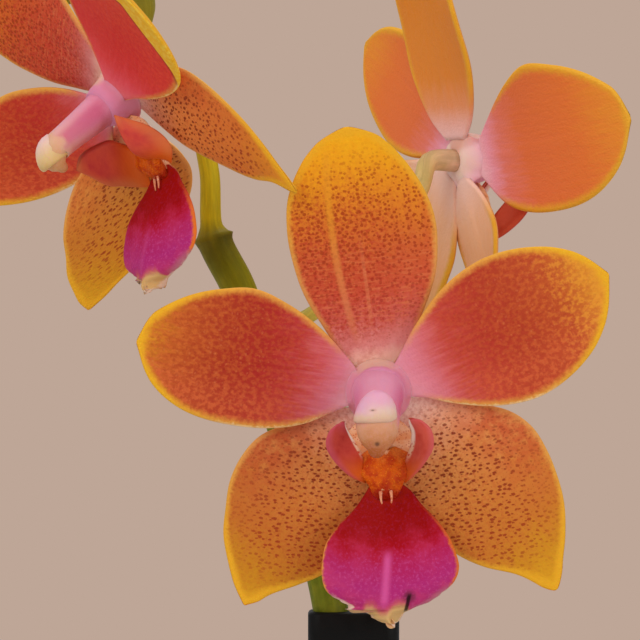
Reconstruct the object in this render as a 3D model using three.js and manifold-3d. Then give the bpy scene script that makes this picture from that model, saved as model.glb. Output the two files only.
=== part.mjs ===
// A moth orchid in flower, growing in a plain glazed pot, at its real size in millimetres.
// +Z is up. The origin is the middle of the pot's underside, and the front bloom looks along -Y.
import * as THREE from "three";
import { mergeVertices } from "three/addons/utils/BufferGeometryUtils.js";
import Module from "manifold-3d";

const wasm = await Module();
wasm.setup();

// Clearance between two pieces that touch on the real plant
const GAP = 0.3;

// Pot
const POT_HEIGHT = 105;
const POT_TOP_RADIUS = 60;
const POT_FOOT_RADIUS = 43;
const POT_WALL = 4;
const POT_FLOOR = 5;
const RIM_HEIGHT = 12;
const RIM_LIP = 2.5;
const DRAIN_HOLES = 4;
const DRAIN_RADIUS = 4;
const DRAIN_CIRCLE = 24;

// Bark that fills the pot
const BARK_TOP = 88;
const BARK_CHIPS = 20;
const BARK_SEED = 7;
const BARK_SIDES = 24;

// Crown, where leaves, roots and the flower spike meet
const CROWN_RADIUS = 9;
const CROWN_FOOT = 72;
const CROWN_TOP = 117;
const ROOT_RADIUS = 2.8;
const ROOTS = 7;

// Leaves
const LEAF_THICKNESS = 2;
const LEAF_RANK_AZIMUTH = -20;

// Flower spike, stake and clip
const SPIKE_LOWER_RADIUS = 2.7;
const SPIKE_UPPER_RADIUS = 1.7;
const STAKE_RADIUS = 2;
const CLIP_HEIGHT = 12;
const CLIP_WIDTH = 14.4;
const CLIP_DEPTH = 8.6;

// Blooms
const TEPAL_THICKNESS = 0.8;
const LIP_THICKNESS = 0.9;
const HUB_RADIUS = 3;
const PETAL_LAYER = 2.2;
const PEDICEL_RADIUS = 1.1;
// Share of a tepal's length over which it twists; the rest of it stays in its layer
const TWIST_SHARE = 0.6;

const vec = (x, y, z) => new THREE.Vector3(x, y, z);
const radians = THREE.MathUtils.degToRad;

// A seeded draw between 0 and 1, the same on every run
function seededDraw(seed) {
  let state = seed;
  return () => {
    state = (state * 1664525 + 1013904223) % 4294967296;
    return state / 4294967296;
  };
}

// Solids and meshes

function toSolid(geometry) {
  const bare = geometry.index ? geometry.toNonIndexed() : geometry.clone();
  for (const name of Object.keys(bare.attributes)) {
    if (name !== "position") bare.deleteAttribute(name);
  }
  const merged = mergeVertices(bare, 1e-3);
  return new wasm.Manifold(
    new wasm.Mesh({
      numProp: 3,
      vertProperties: new Float32Array(merged.attributes.position.array),
      triVerts: new Uint32Array(merged.index.array),
    }),
  );
}

function toGeometry(solid) {
  const mesh = solid.getMesh();
  const places = new Float32Array(mesh.numVert * 3);
  for (let i = 0; i < mesh.numVert; i++) {
    const at = i * mesh.numProp;
    places.set(mesh.vertProperties.subarray(at, at + 3), i * 3);
  }
  const geometry = new THREE.BufferGeometry();
  geometry.setAttribute("position", new THREE.BufferAttribute(places, 3));
  geometry.setIndex(new THREE.BufferAttribute(mesh.triVerts, 1));
  return geometry;
}

// A cut can leave loose crumbs: only the largest body is the piece.
function largestBody(solid) {
  return solid.decompose().sort((a, b) => b.volume() - a.volume())[0];
}

function joined(geometries) {
  const whole = geometries.map(toSolid).reduce((sum, next) => sum.add(next));
  return toGeometry(largestBody(whole));
}

function cut(geometry, ...tools) {
  const left = tools.reduce((rest, tool) => rest.subtract(toSolid(tool)), toSolid(geometry));
  return toGeometry(largestBody(left));
}

// Curves and skins

// A smooth value through rows of [where, value, value ...], read at one place
function along(rows, where, column = 1) {
  let i = 0;
  while (i < rows.length - 2 && where > rows[i + 1][0]) i++;
  const slope = (k) => {
    const a = rows[Math.max(k - 1, 0)];
    const b = rows[Math.min(k + 1, rows.length - 1)];
    return (b[column] - a[column]) / (b[0] - a[0]);
  };
  const [from, to] = [rows[i], rows[i + 1]];
  const span = to[0] - from[0];
  const t = (where - from[0]) / span;
  const [t2, t3] = [t * t, t * t * t];
  return (
    (2 * t3 - 3 * t2 + 1) * from[column] +
    (t3 - 2 * t2 + t) * span * slope(i) +
    (3 * t2 - 2 * t3) * to[column] +
    (t3 - t2) * span * slope(i + 1)
  );
}

function indexed(points, faces) {
  const geometry = new THREE.BufferGeometry().setFromPoints(points);
  geometry.setIndex(faces);
  return geometry;
}

// A blade of even thickness. place(u, v) is its front face, u from base to tip and v from -1 to 1
// across it. Both faces are split into triangles alike, so that a waved blade never crosses itself.
function blade(steps, across, thickness, place) {
  const front = [];
  const back = [];
  const small = 1e-3;
  for (let i = 0; i <= steps; i++) {
    for (let j = 0; j <= across; j++) {
      const u = i / steps;
      const v = (2 * j) / across - 1;
      const lengthwise = place(u + small, v).sub(place(u - small, v));
      const crosswise = place(u, v + small).sub(place(u, v - small));
      const normal = lengthwise.cross(crosswise).normalize();
      const point = place(u, v);
      front.push(point);
      back.push(point.clone().addScaledVector(normal, -thickness));
    }
  }
  const row = across + 1;
  const count = front.length;
  const faces = [];
  const wall = (a, b) => faces.push(a, b + count, b, a, a + count, b + count);
  for (let i = 0; i < steps; i++) {
    for (let j = 0; j < across; j++) {
      const a = i * row + j;
      const [b, c, d] = [a + row, a + row + 1, a + 1];
      faces.push(a, b, c, a, c, d);
      faces.push(a + count, c + count, b + count, a + count, d + count, c + count);
    }
  }
  for (let i = 0; i < steps; i++) {
    wall(i * row, (i + 1) * row);
    wall((i + 1) * row + across, i * row + across);
  }
  for (let j = 0; j < across; j++) {
    wall(j + 1, j);
    wall(steps * row + j, steps * row + j + 1);
  }
  return indexed([...front, ...back], faces);
}

// A closed skin over rings of equally many points
function loft(rings) {
  const sides = rings[0].length;
  const points = rings.flat();
  const faces = [];
  for (let i = 0; i < rings.length - 1; i++) {
    for (let j = 0; j < sides; j++) {
      const a = i * sides + j;
      const b = i * sides + ((j + 1) % sides);
      faces.push(a, b, b + sides, a, b + sides, a + sides);
    }
  }
  const close = (ring, turned) => {
    const middle = rings[ring].reduce((sum, p) => sum.add(p), vec(0, 0, 0)).divideScalar(sides);
    const centre = points.push(middle) - 1;
    for (let j = 0; j < sides; j++) {
      const a = ring * sides + j;
      const b = ring * sides + ((j + 1) % sides);
      faces.push(...(turned ? [centre, b, a] : [centre, a, b]));
    }
  };
  close(0, true);
  close(rings.length - 1, false);
  return indexed(points, faces);
}

// An oval ring round a point of a path, square to the path there
function ring(centre, heading, wide, deep, sides, sideways = vec(1, 0, 0)) {
  const forward = heading.clone().normalize();
  const up = new THREE.Vector3().crossVectors(forward, sideways).normalize();
  const side = new THREE.Vector3().crossVectors(up, forward);
  return Array.from({ length: sides }, (_, k) => {
    const turn = (2 * Math.PI * k) / sides;
    return centre
      .clone()
      .addScaledVector(side, wide * Math.cos(turn))
      .addScaledVector(up, deep * Math.sin(turn));
  });
}

// A tapering round stem along a curve, with its radius given at each share of the length
function stem(points, radiusAt, shares, sides, sideways) {
  const path = new THREE.CatmullRomCurve3(points);
  return loft(
    shares.map((t) => {
      const r = radiusAt(t);
      return ring(path.getPointAt(t), path.getTangentAt(t), r, r, sides, sideways);
    }),
  );
}

const evenShares = (steps) => Array.from({ length: steps + 1 }, (_, i) => i / steps);

// Pot and bark

function outerRadius(z) {
  const rim = z > POT_HEIGHT - RIM_HEIGHT ? RIM_LIP : 0;
  return THREE.MathUtils.lerp(POT_FOOT_RADIUS, POT_TOP_RADIUS - RIM_LIP, z / POT_HEIGHT) + rim;
}

const innerRadius = (z) =>
  THREE.MathUtils.lerp(POT_FOOT_RADIUS, POT_TOP_RADIUS - RIM_LIP, z / POT_HEIGHT) - POT_WALL;

function turned(profile, sides) {
  const geometry = new THREE.LatheGeometry(
    profile.map(([r, z]) => new THREE.Vector2(r, z)),
    sides,
  );
  return geometry.rotateX(Math.PI / 2);
}

function makePot() {
  const rimFoot = POT_HEIGHT - RIM_HEIGHT;
  const profile = [
    [0, 0],
    [POT_FOOT_RADIUS - 1, 0],
    [POT_FOOT_RADIUS, 1],
    [outerRadius(rimFoot - 1.5), rimFoot - 1.5],
    [outerRadius(rimFoot) + RIM_LIP, rimFoot + 1],
    [POT_TOP_RADIUS, POT_HEIGHT - 1],
    [POT_TOP_RADIUS - 1, POT_HEIGHT],
    [innerRadius(POT_HEIGHT) + 1, POT_HEIGHT],
    [innerRadius(POT_HEIGHT), POT_HEIGHT - 1],
    [innerRadius(POT_FLOOR), POT_FLOOR],
    [0, POT_FLOOR],
  ];
  const holes = Array.from({ length: DRAIN_HOLES }, (_, k) => {
    const turn = (2 * Math.PI * (k + 0.5)) / DRAIN_HOLES;
    return new THREE.CylinderGeometry(DRAIN_RADIUS, DRAIN_RADIUS, 4 * POT_FLOOR, 12)
      .rotateX(Math.PI / 2)
      .translate(DRAIN_CIRCLE * Math.cos(turn), DRAIN_CIRCLE * Math.sin(turn), POT_FLOOR / 2);
  });
  return cut(turned(profile, 40), ...holes);
}

// One flat, split piece of bark, a wedge that is thinner at one end
function barkChip(draw) {
  const chip = new THREE.BoxGeometry(14 + 10 * draw(), 9 + 5 * draw(), 4.5 + 2.5 * draw());
  const places = chip.attributes.position;
  const taper = 0.45 + 0.3 * draw();
  for (let i = 0; i < places.count; i++) {
    if (places.getX(i) > 0) {
      places.setY(i, places.getY(i) * taper);
      places.setZ(i, places.getZ(i) * taper);
    }
  }
  chip.rotateX(radians(50 * (draw() - 0.5)));
  chip.rotateY(radians(44 * (draw() - 0.5)));
  return chip.rotateZ(2 * Math.PI * draw());
}

function makeBark(buried) {
  const draw = seededDraw(BARK_SEED);
  const floor = POT_FLOOR + GAP;
  const wall = (z) => innerRadius(z) - GAP - 0.2;
  const fill = turned(
    [
      [0, floor],
      [wall(floor), floor],
      [wall(BARK_TOP), BARK_TOP - 3],
      [wall(BARK_TOP) * 0.6, BARK_TOP],
      [0, BARK_TOP + 1],
    ],
    BARK_SIDES,
  );
  // The chips lie in a sunflower spiral, so that they cover the surface evenly.
  const chips = Array.from({ length: BARK_CHIPS }, (_, k) => {
    const reach = (wall(BARK_TOP) - 10) * Math.sqrt((k + 0.5) / BARK_CHIPS);
    const turn = k * radians(137.5);
    const height = BARK_TOP + 0.8 * draw();
    return barkChip(draw).translate(reach * Math.cos(turn), reach * Math.sin(turn), height);
  });
  // A mould of the pot's inside keeps the outer chips clear of its wall.
  const mould = turned(
    [
      [0, floor],
      [wall(floor), floor],
      [wall(POT_HEIGHT), POT_HEIGHT],
      [0, POT_HEIGHT],
    ],
    BARK_SIDES,
  );
  const moulded = toSolid(joined([fill, ...chips])).intersect(toSolid(mould));
  return cut(toGeometry(moulded), ...buried);
}

// Crown and aerial roots. The same skins, a little fatter, make their holes in the bark.

function crownSkins(extra = 0) {
  const rows = [
    [CROWN_FOOT - extra, 3 + extra],
    [CROWN_FOOT + 6, 7 + extra],
    [BARK_TOP, CROWN_RADIUS + extra],
    [CROWN_TOP - 7, CROWN_RADIUS + extra],
    [CROWN_TOP, 4 + extra],
  ];
  const crown = loft(
    rows.map(([z, r]) => ring(vec(0, 0, z), vec(0, 0, 1), r, r, 12)),
  );
  const roots = Array.from({ length: ROOTS }, (_, k) => {
    const turn = radians(18 + (k * 360) / ROOTS + (k % 2 ? 9 : -6));
    const reach = 33 + (k % 3) * 4;
    const drift = 0.22 * (k % 2 ? 1 : -1);
    const at = (r, z, more = 0) => vec(r * Math.cos(turn + more), r * Math.sin(turn + more), z);
    const points = [
      at(3, 86),
      at(13, 92 + (k % 2)),
      at(0.55 * reach, 94.5 + (k % 3), drift),
      at(0.85 * reach, 91, 1.3 * drift),
      at(reach, 80, 1.6 * drift),
      at(reach + 2, 68, 1.7 * drift),
    ];
    const radius = (t) => ROOT_RADIUS * (1 - 0.25 * t) + extra;
    return stem(points, radius, evenShares(7), 6, vec(0, 0, 1));
  });
  return [crown, ...roots];
}

// Leaves in two ranks, the lowest first: turn off the rank, height, length, half width, and the
// slope in degrees at base and tip
const LEAVES = [
  { turn: 8, height: 99, length: 158, half: 31, slopes: [26, -46] },
  { turn: 172, height: 101, length: 165, half: 33, slopes: [30, -40] },
  { turn: -14, height: 104, length: 150, half: 32, slopes: [46, -26] },
  { turn: 194, height: 106, length: 140, half: 30, slopes: [50, -18] },
  { turn: 6, height: 109, length: 112, half: 26, slopes: [64, 6] },
  { turn: 176, height: 111, length: 70, half: 17, slopes: [76, 34] },
];

// Half width of a strap leaf, as a share of its widest
const LEAF_OUTLINE = [
  [0, 0.2],
  [0.08, 0.34],
  [0.25, 0.68],
  [0.5, 0.96],
  [0.68, 1],
  [0.85, 0.82],
  [0.95, 0.5],
  [1, 0.2],
];
const LEAF_KEEL = 0.26;

// A leaf clasps the crown: it starts a little inside it and is cut to fit round crown and spike.
function makeLeaf({ turn, height, length, half, slopes }) {
  const azimuth = radians(LEAF_RANK_AZIMUTH + turn);
  const out = vec(Math.cos(azimuth), Math.sin(azimuth), 0);
  const side = vec(-Math.sin(azimuth), Math.cos(azimuth), 0);
  const [first, last] = slopes.map(radians);
  const midrib = (u) => {
    // The slope turns evenly along the leaf, so the midrib is an arc of a circle.
    const slope = first + (last - first) * u;
    const curve = (last - first) / length;
    return [(Math.sin(slope) - Math.sin(first)) / curve, (Math.cos(first) - Math.cos(slope)) / curve];
  };
  const strap = blade(12, 6, LEAF_THICKNESS, (u, v) => {
    const width = half * along(LEAF_OUTLINE, u);
    const [reach, rise] = midrib(u);
    const slope = first + (last - first) * u;
    const fold = LEAF_KEEL * width * Math.pow(Math.abs(v), 1.4) + 0.9 * Math.sin(9 * u + 2 * v) * v * v * u;
    return vec(0, 0, height)
      .addScaledVector(out, CROWN_RADIUS - LEAF_THICKNESS + reach - fold * Math.sin(slope))
      .addScaledVector(side, v * width)
      .add(vec(0, 0, rise + fold * Math.cos(slope)));
  });
  const [crown] = crownSkins(GAP);
  return cut(strap, crown, ...spikeSkins(GAP));
}

// Flower spike: from the crown, up beside the stake, through the clip, and zigzag to the buds

const SPIKE_PATH = [
  vec(8.9, 8.9, 95),
  vec(11.6, 9, 128),
  vec(11.8, 8, 180),
  vec(11.6, 6, 240),
  vec(11.4, 4, 290),
  vec(5.8, 4, 315.5),
  vec(1, 4, 331.5),
  vec(-3.9, 4, 346),
  vec(-7.9, 4, 354.4),
  vec(-8.6, 4, 365),
  vec(-11.6, 4, 375),
  vec(-18, 4, 382),
  vec(-26.5, 4, 389.5),
];
const SPIKE_CURVE = new THREE.CatmullRomCurve3(SPIKE_PATH);

// Heights of the nodes, where a small bract clasps the stem
const NODE_HEIGHTS = [124, 158, 193, 228, 262, 305, 322, 337, 354.4, 374.5, 384];
const COLLAR_REACH = 0.006;

// Share of the spike's length at which it passes a height
function shareAtHeight(height) {
  let [low, high] = [0, 1];
  for (let i = 0; i < 30; i++) {
    const middle = (low + high) / 2;
    if (SPIKE_CURVE.getPointAt(middle).z < height) low = middle;
    else high = middle;
  }
  return low;
}

const NODE_SHARES = NODE_HEIGHTS.map(shareAtHeight);
const LIGHTER_FROM = NODE_SHARES[8];

function spikeRadius(t) {
  const end = t < 0.01 ? 0.7 : 1;
  const plain =
    t < LIGHTER_FROM
      ? THREE.MathUtils.lerp(SPIKE_LOWER_RADIUS + 0.3, SPIKE_LOWER_RADIUS, t)
      : THREE.MathUtils.lerp(SPIKE_UPPER_RADIUS, 1.1, (t - LIGHTER_FROM) / (1 - LIGHTER_FROM));
  const collar = NODE_SHARES.some((node) => Math.abs(node - t) < COLLAR_REACH / 3) ? 0.55 : 0;
  return plain * end + collar;
}

function spikeSkin(extra) {
  const shares = new Set([...evenShares(15), 0.004]);
  for (const node of NODE_SHARES) {
    [-COLLAR_REACH, 0, COLLAR_REACH].forEach((step) => shares.add(node + step));
  }
  const kept = [...shares].sort((a, b) => a - b);
  const spaced = kept.filter((t, i) => i === 0 || t - kept[i - 1] > COLLAR_REACH / 2);
  return stem(SPIKE_PATH, (t) => spikeRadius(t) + extra, spaced, 8, vec(0, 1, 0));
}

// A bract is a small pointed scale that hugs the stem above its node.
function makeBract(index, extra) {
  const share = NODE_SHARES[index];
  const foot = SPIKE_CURVE.getPointAt(share);
  const up = SPIKE_CURVE.getTangentAt(share);
  const side = vec(index % 2 ? -1 : 1, -0.5, 0).normalize();
  const reach = spikeRadius(share + 2 * COLLAR_REACH);
  const place = (rise, out) => foot.clone().addScaledVector(up, rise).addScaledVector(side, out);
  const length = index < 5 ? 9 : 5;
  return loft([
    ring(place(-0.6 - extra, reach - 1.2), up, 1.2 + extra, 1.2 + extra, 5, vec(0, 1, 0)),
    ring(place(length * 0.45, reach - 0.5), up, 1.1 + extra, 1.1 + extra, 5, vec(0, 1, 0)),
    ring(place(length + extra, reach + 0.1), up, 0.35 + extra, 0.35 + extra, 5, vec(0, 1, 0)),
  ]);
}

// The stem with its bracts, or the same a little fatter, as cutting tools
function spikeSkins(extra = 0) {
  const bracts = NODE_SHARES.slice(0, 9).map((_, index) => makeBract(index, extra));
  return [spikeSkin(extra), ...bracts];
}

// Stake and clip

const STAKE_FOOT = vec(17, 21, 22);
const STAKE_TOP = vec(17.7, 4.2, 298);
const CLIP_CENTRE = vec(14.3, 4.2, 289);

function stakeSkin(extra = 0) {
  const run = STAKE_TOP.clone().sub(STAKE_FOOT);
  const rod = new THREE.CylinderGeometry(
    STAKE_RADIUS + extra,
    STAKE_RADIUS + extra,
    run.length() + 2 * extra,
    12,
  );
  rod.applyQuaternion(
    new THREE.Quaternion().setFromUnitVectors(vec(0, 1, 0), run.clone().normalize()),
  );
  const middle = STAKE_FOOT.clone().add(STAKE_TOP).divideScalar(2);
  return rod.translate(middle.x, middle.y, middle.z);
}

// The clip is one moulded band round stem and stake, with two finger tabs behind.
function makeClip() {
  const [w, d, corner] = [CLIP_WIDTH / 2, CLIP_DEPTH / 2, 2.2];
  const outline = new THREE.Shape();
  outline.absarc(w - corner, d - corner, corner, 0, Math.PI / 2);
  outline.absarc(-w + corner, d - corner, corner, Math.PI / 2, Math.PI);
  outline.absarc(-w + corner, -d + corner, corner, Math.PI, 1.5 * Math.PI);
  outline.absarc(w - corner, -d + corner, corner, 1.5 * Math.PI, 2 * Math.PI);
  const band = new THREE.ExtrudeGeometry(outline, {
    depth: CLIP_HEIGHT,
    bevelEnabled: false,
    curveSegments: 4,
  });
  band.translate(0, 0, -CLIP_HEIGHT / 2);
  const tabs = [-1, 1].map((side) =>
    new THREE.BoxGeometry(1.6, 7, CLIP_HEIGHT * 0.7)
      .rotateZ(radians(-14 * side))
      .translate(2.6 * side, d + 2.4, 0),
  );
  const body = joined([band, ...tabs]).translate(CLIP_CENTRE.x, CLIP_CENTRE.y, CLIP_CENTRE.z);
  return cut(body, ...spikeSkins(GAP), stakeSkin(GAP));
}

// Blooms, each in its own frame: x to its right, y up and z out of its face

// Outlines: share of the length, then the half widths to the left and right of the axis, looking
// from the base to the tip with the face towards the viewer
const DORSAL_OUTLINE = [
  [0, 2.4, 2.4],
  [0.08, 4.6, 5.4],
  [0.2, 6.8, 8.2],
  [0.35, 9.1, 10.9],
  [0.5, 10.1, 12],
  [0.62, 10.2, 11.9],
  [0.75, 9.3, 10.4],
  [0.88, 6.6, 7.6],
  [0.96, 3.2, 4.5],
  [1, 0.8, 2.2],
];
const PETAL_LEFT_OUTLINE = [
  [0, 2.3, 2.3],
  [0.06, 3.6, 4.2],
  [0.2, 6.6, 7.8],
  [0.35, 8.2, 10.4],
  [0.52, 8.7, 12],
  [0.68, 8.3, 11],
  [0.8, 7, 9.4],
  [0.9, 4.7, 7.2],
  [0.97, 1.6, 4.9],
  [1, 0.2, 2.6],
];
const PETAL_RIGHT_OUTLINE = [
  [0, 2.3, 2.3],
  [0.07, 4.2, 3.6],
  [0.17, 6.8, 6.2],
  [0.33, 9.9, 9.3],
  [0.5, 11.4, 10.8],
  [0.65, 11.1, 10.2],
  [0.8, 9.3, 8],
  [0.9, 6.9, 5],
  [0.97, 4, 1.4],
  [1, 2.6, -0.4],
];
const LATERAL_LEFT_OUTLINE = [
  [0, 1.4, 1.4],
  [0.08, 3.2, 4.2],
  [0.2, 6.2, 7.7],
  [0.33, 7.6, 11],
  [0.45, 8.3, 11.9],
  [0.58, 8.6, 11.4],
  [0.7, 8, 9.6],
  [0.8, 5.7, 7.7],
  [0.9, 3, 4.4],
  [0.97, 1.8, 1.6],
  [1, 1.2, 0.2],
];
const LATERAL_RIGHT_OUTLINE = [
  [0, 2.6, 1.4],
  [0.05, 5.6, 2.6],
  [0.12, 7.8, 4.3],
  [0.28, 13.2, 7.2],
  [0.4, 14.9, 7.6],
  [0.52, 14.6, 7],
  [0.65, 13.2, 5.6],
  [0.75, 11.5, 3.6],
  [0.85, 8.8, 0.6],
  [0.93, 6, -0.9],
  [1, 3.9, -1.7],
];

const OUTLINES = {
  dorsal_sepal: DORSAL_OUTLINE,
  petal_left: PETAL_LEFT_OUTLINE,
  petal_right: PETAL_RIGHT_OUTLINE,
  lateral_sepal_left: LATERAL_LEFT_OUTLINE,
  lateral_sepal_right: LATERAL_RIGHT_OUTLINE,
};

// Each tepal has its angle from the bloom's right, its reach from the middle to the tip, how far
// its tip stands forward and sideways, how wide it is against its outline, and its twist in
// degrees. The mid lobe of a lip swings about its neck: degrees of roll, tilt and turn.
const BLOOMS = [
  {
    name: "front",
    centre: vec(17.7, -26, 330.3),
    basis: [vec(1, 0, 0), vec(0, 0, 1)],
    size: 1,
    lipTurn: 4,
    lipSwing: [0, 0, 0],
    tepals: {
      dorsal_sepal: { angle: 98, reach: 39.7, forward: 2 },
      petal_left: { angle: 170, reach: 36.7, forward: 0.8 },
      petal_right: { angle: 25, reach: 38.3, forward: 1.6 },
      lateral_sepal_left: { angle: 237, reach: 37.5, forward: 1.5 },
      lateral_sepal_right: { angle: 308, reach: 39.6, forward: 1 },
    },
    pedicel: [vec(17.5, -12, 331), vec(12, -2, 328), vec(4.3, 4, 322)],
  },
  {
    name: "left",
    centre: vec(-21.1, -20, 375.1),
    basis: [vec(0.409, -0.876, 0.254), vec(-0.607, -0.054, 0.793)],
    size: 0.9,
    lipTurn: 0,
    lipSwing: [10, -26, -8],
    tepals: {
      dorsal_sepal: { angle: 122, reach: 38.6, forward: 4.2, twist: 13, side: -5.3 },
      petal_left: { angle: 182, reach: 39.6, forward: 18.2, wide: 0.95, twist: 1, side: -8 },
      petal_right: { angle: 16, reach: 34.9, forward: 4.3, wide: 1.14, twist: 6, side: 6.8 },
      lateral_sepal_left: { angle: 241, reach: 35.5, forward: 16.7, wide: 1.15, twist: -44, side: -11.5 },
      lateral_sepal_right: { angle: 318, reach: 34, forward: -5, wide: 0.78, twist: -3, side: -13 },
    },
    pedicel: [vec(-17.5, -9, 381.5), vec(-18, -2, 383), vec(-19.5, 4, 383.5)],
  },
  {
    name: "back",
    centre: vec(31.8, 22, 367.2),
    basis: [vec(-0.531, 0.841, 0.102), vec(-0.029, -0.138, 0.99)],
    size: 1.03,
    lipTurn: 0,
    lipSwing: [0, -34, 0],
    tepals: {
      dorsal_sepal: { angle: 85, reach: 38.9, forward: -6.5, wide: 1.09, twist: -13, side: -1.8 },
      petal_left: { angle: 175, reach: 34.4, forward: 6.7, wide: 1.13, twist: 11, side: -3.6 },
      petal_right: { angle: 29.6, reach: 33.3, forward: -0.7, wide: 0.87, twist: 2 },
      lateral_sepal_left: { angle: 246.5, reach: 40.8, forward: 2.2, wide: 0.86, twist: 27, side: 2.7 },
      lateral_sepal_right: { angle: 306, reach: 37.5, forward: 6, wide: 1.05, twist: 8, side: -4 },
    },
    pedicel: [vec(25, 15.5, 361.5), vec(13, 11, 346), vec(-0.5, 4, 337)],
  },
];

const isPetal = (name) => name.startsWith("petal");

// The front face of a tepal: spread almost flat, its edges curled a little back, and its tip
// bent forward by its own amount
function tepalPlace(name, spec, size, grow = 0) {
  const { angle, reach, forward, wide = 1, twist = 0, side = 0 } = spec;
  const outline = OUTLINES[name];
  const axis = vec(Math.cos(radians(angle)), Math.sin(radians(angle)), 0);
  const leftward = vec(-axis.y, axis.x, 0);
  const base = HUB_RADIUS + GAP;
  const layer = isPetal(name) ? PETAL_LAYER : 0;
  return (u, v) => {
    const share = THREE.MathUtils.clamp(u, 0, 1);
    const [left, right] = [1, 2].map((column) => along(outline, share, column) * wide * size);
    const across = (left - right) / 2 + v * ((left + right) / 2 + grow);
    const lengthAlong = base + (reach * size - base) * u;
    const curl = 0.9 * size * v * v * Math.sin(Math.PI * share);
    const turn = radians(twist) * THREE.MathUtils.smoothstep(share, 0, TWIST_SHARE);
    const height = layer + forward * size * u * u - curl + across * Math.sin(turn);
    return vec(0, 0, height)
      .addScaledVector(axis, lengthAlong)
      .addScaledVector(leftward, across * Math.cos(turn) + side * size * u * u);
  };
}

function makeTepal(name, spec, size) {
  return blade(9, 6, TEPAL_THICKNESS, tepalPlace(name, spec, size));
}

// The same tepal, thicker and wider by the clearance, as a cutting tool
function tepalClearance(name, spec, size) {
  const place = tepalPlace(name, spec, size, GAP);
  return blade(9, 6, TEPAL_THICKNESS + 2 * GAP, (u, v) => place(u, v).add(vec(0, 0, GAP)));
}

// Lip: a claw from the foot of the column, a callus, two upright side lobes and the broad shield
// of the mid lobe, which hangs forward

// Distance down the mid lobe from its neck, against height and forward reach in the bloom
const MID_LOBE_LINE = [
  [0, -13.6, 2.6],
  [0.1, -15.5, 2.8],
  [0.38, -21.6, 5.6],
  [0.68, -28.3, 8.4],
  [1, -34.6, 9.8],
];
const MID_LOBE_OUTLINE = [
  [0, 2.2],
  [0.1, 3.2],
  [0.18, 5.4],
  [0.28, 7.6],
  [0.4, 9.2],
  [0.55, 10.3],
  [0.68, 10.1],
  [0.78, 8.4],
  [0.86, 5.6],
  [0.93, 3.2],
  [1, 1.7],
];
const CALLUS_HEIGHT = -11.5;
const KEEL_HEIGHT = 0.7;
const MID_LOBE_DROOP = 3.4;

function midLobePlace(size) {
  return (u, v) => {
    const share = THREE.MathUtils.clamp(u, 0, 1);
    const width = along(MID_LOBE_OUTLINE, share) * size;
    const down = along(MID_LOBE_LINE, u, 1);
    const out = along(MID_LOBE_LINE, u, 2);
    const keel = KEEL_HEIGHT * Math.exp(-18 * v * v) * share;
    const droop = MID_LOBE_DROOP * v * v * share;
    return vec(v * width, down * size, (out - droop + keel) * size);
  };
}

function sideLobePlace(side, size) {
  return (u, v) => {
    const swell = 2 * Math.sin(Math.PI * THREE.MathUtils.clamp(u, 0, 1));
    const rim = 1 - 0.3 * v * v * u;
    const x = 1.6 + (5.6 * u + swell) * rim;
    const y = CALLUS_HEIGHT + 2.2 * u - (2.2 + 2 * u) * v;
    const z = 2.4 + 0.2 * v + (7.4 * u - 1.1 * u * v) * rim;
    return vec(side * x, y, z).multiplyScalar(size);
  };
}

function makeLip(size, turn, swing) {
  const [roll, tilt, yaw] = swing.map(radians);
  const [, neckHeight, neckOut] = MID_LOBE_LINE[0].map((value) => value * size);
  const midLobe = blade(9, 6, LIP_THICKNESS, midLobePlace(size))
    .translate(0, -neckHeight, -neckOut)
    .rotateY(roll)
    .rotateX(tilt)
    .rotateZ(yaw)
    .translate(0, neckHeight, neckOut);
  // Seen from base to rim, the left lobe's inner face and the right lobe's outer face lie in front.
  const lobes = [-1, 1].map((side) => {
    const place = sideLobePlace(side, size);
    return blade(4, 4, LIP_THICKNESS, (u, v) => place(u, side * v));
  });
  const claw = loft(
    [
      [-HUB_RADIUS - GAP - 0.1, 2.3, 1.3],
      [-6.5, 2.6, 1.5],
      [-9.6, 2.6, 2.2],
      [-14.6, 2.9, 2.2],
    ].map(([y, z, r]) => ring(vec(0, y * size, z * size), vec(0, -1, 0), r * size, 1.4 * size, 10)),
  );
  const callus = new THREE.SphereGeometry(1, 8, 5);
  callus.scale(3.4 * size, 2.7 * size, 2.2 * size);
  callus.translate(0, CALLUS_HEIGHT * size, 3.6 * size);
  const whiskers = [-1, 1].map((side) => {
    const foot = vec(side * 0.9, -13, 4.2).multiplyScalar(size);
    const tip = vec(side * 0.8 + 0.5, -17, 7).multiplyScalar(size);
    const heading = tip.clone().sub(foot);
    return loft([
      ring(foot, heading, 0.8, 0.8, 5),
      ring(tip, heading, 0.35, 0.35, 5),
    ]);
  });
  return joined([midLobe, claw, callus, ...lobes, ...whiskers]).rotateZ(radians(turn));
}

// Column: the stout middle of the bloom, bent forward and down to the stigma. Rows are height,
// forward reach, half width and half depth.
const COLUMN_ROWS = [
  [0, -1.4, 2.6, 2.6],
  [0, -0.4, 3, 3],
  [0, 3.6, 3, 3],
  [-0.3, 7.6, 2.7, 2.7],
  [-1.4, 11.8, 2.8, 3],
  [-3.4, 14.8, 3.1, 3.3],
  [-5.2, 16.2, 2.6, 2.7],
];

function columnSkin(size, extra = 0) {
  const rows = COLUMN_ROWS.map(([y, z, wide, deep]) => [vec(0, y, z), wide + extra, deep + extra]);
  return loft(
    rows.map(([centre, wide, deep], i) => {
      const ahead = rows[Math.min(i + 1, rows.length - 1)][0];
      const behind = rows[Math.max(i - 1, 0)][0];
      const heading = ahead.clone().sub(behind);
      return ring(centre.clone().multiplyScalar(size), heading, wide * size, deep * size, 12);
    }),
  );
}

// The anther cap sits over the column's end like a rounded hood.
function makeAntherCap(size) {
  const cap = new THREE.SphereGeometry(1, 10, 7);
  cap.scale(3.3 * size, 2.9 * size, 2.6 * size);
  cap.rotateX(radians(24));
  cap.translate(0, -2.1 * size, 16.2 * size);
  return cut(cap, columnSkin(size, GAP / size));
}

// Buds at the tip of the spike, each with its short stalk

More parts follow.
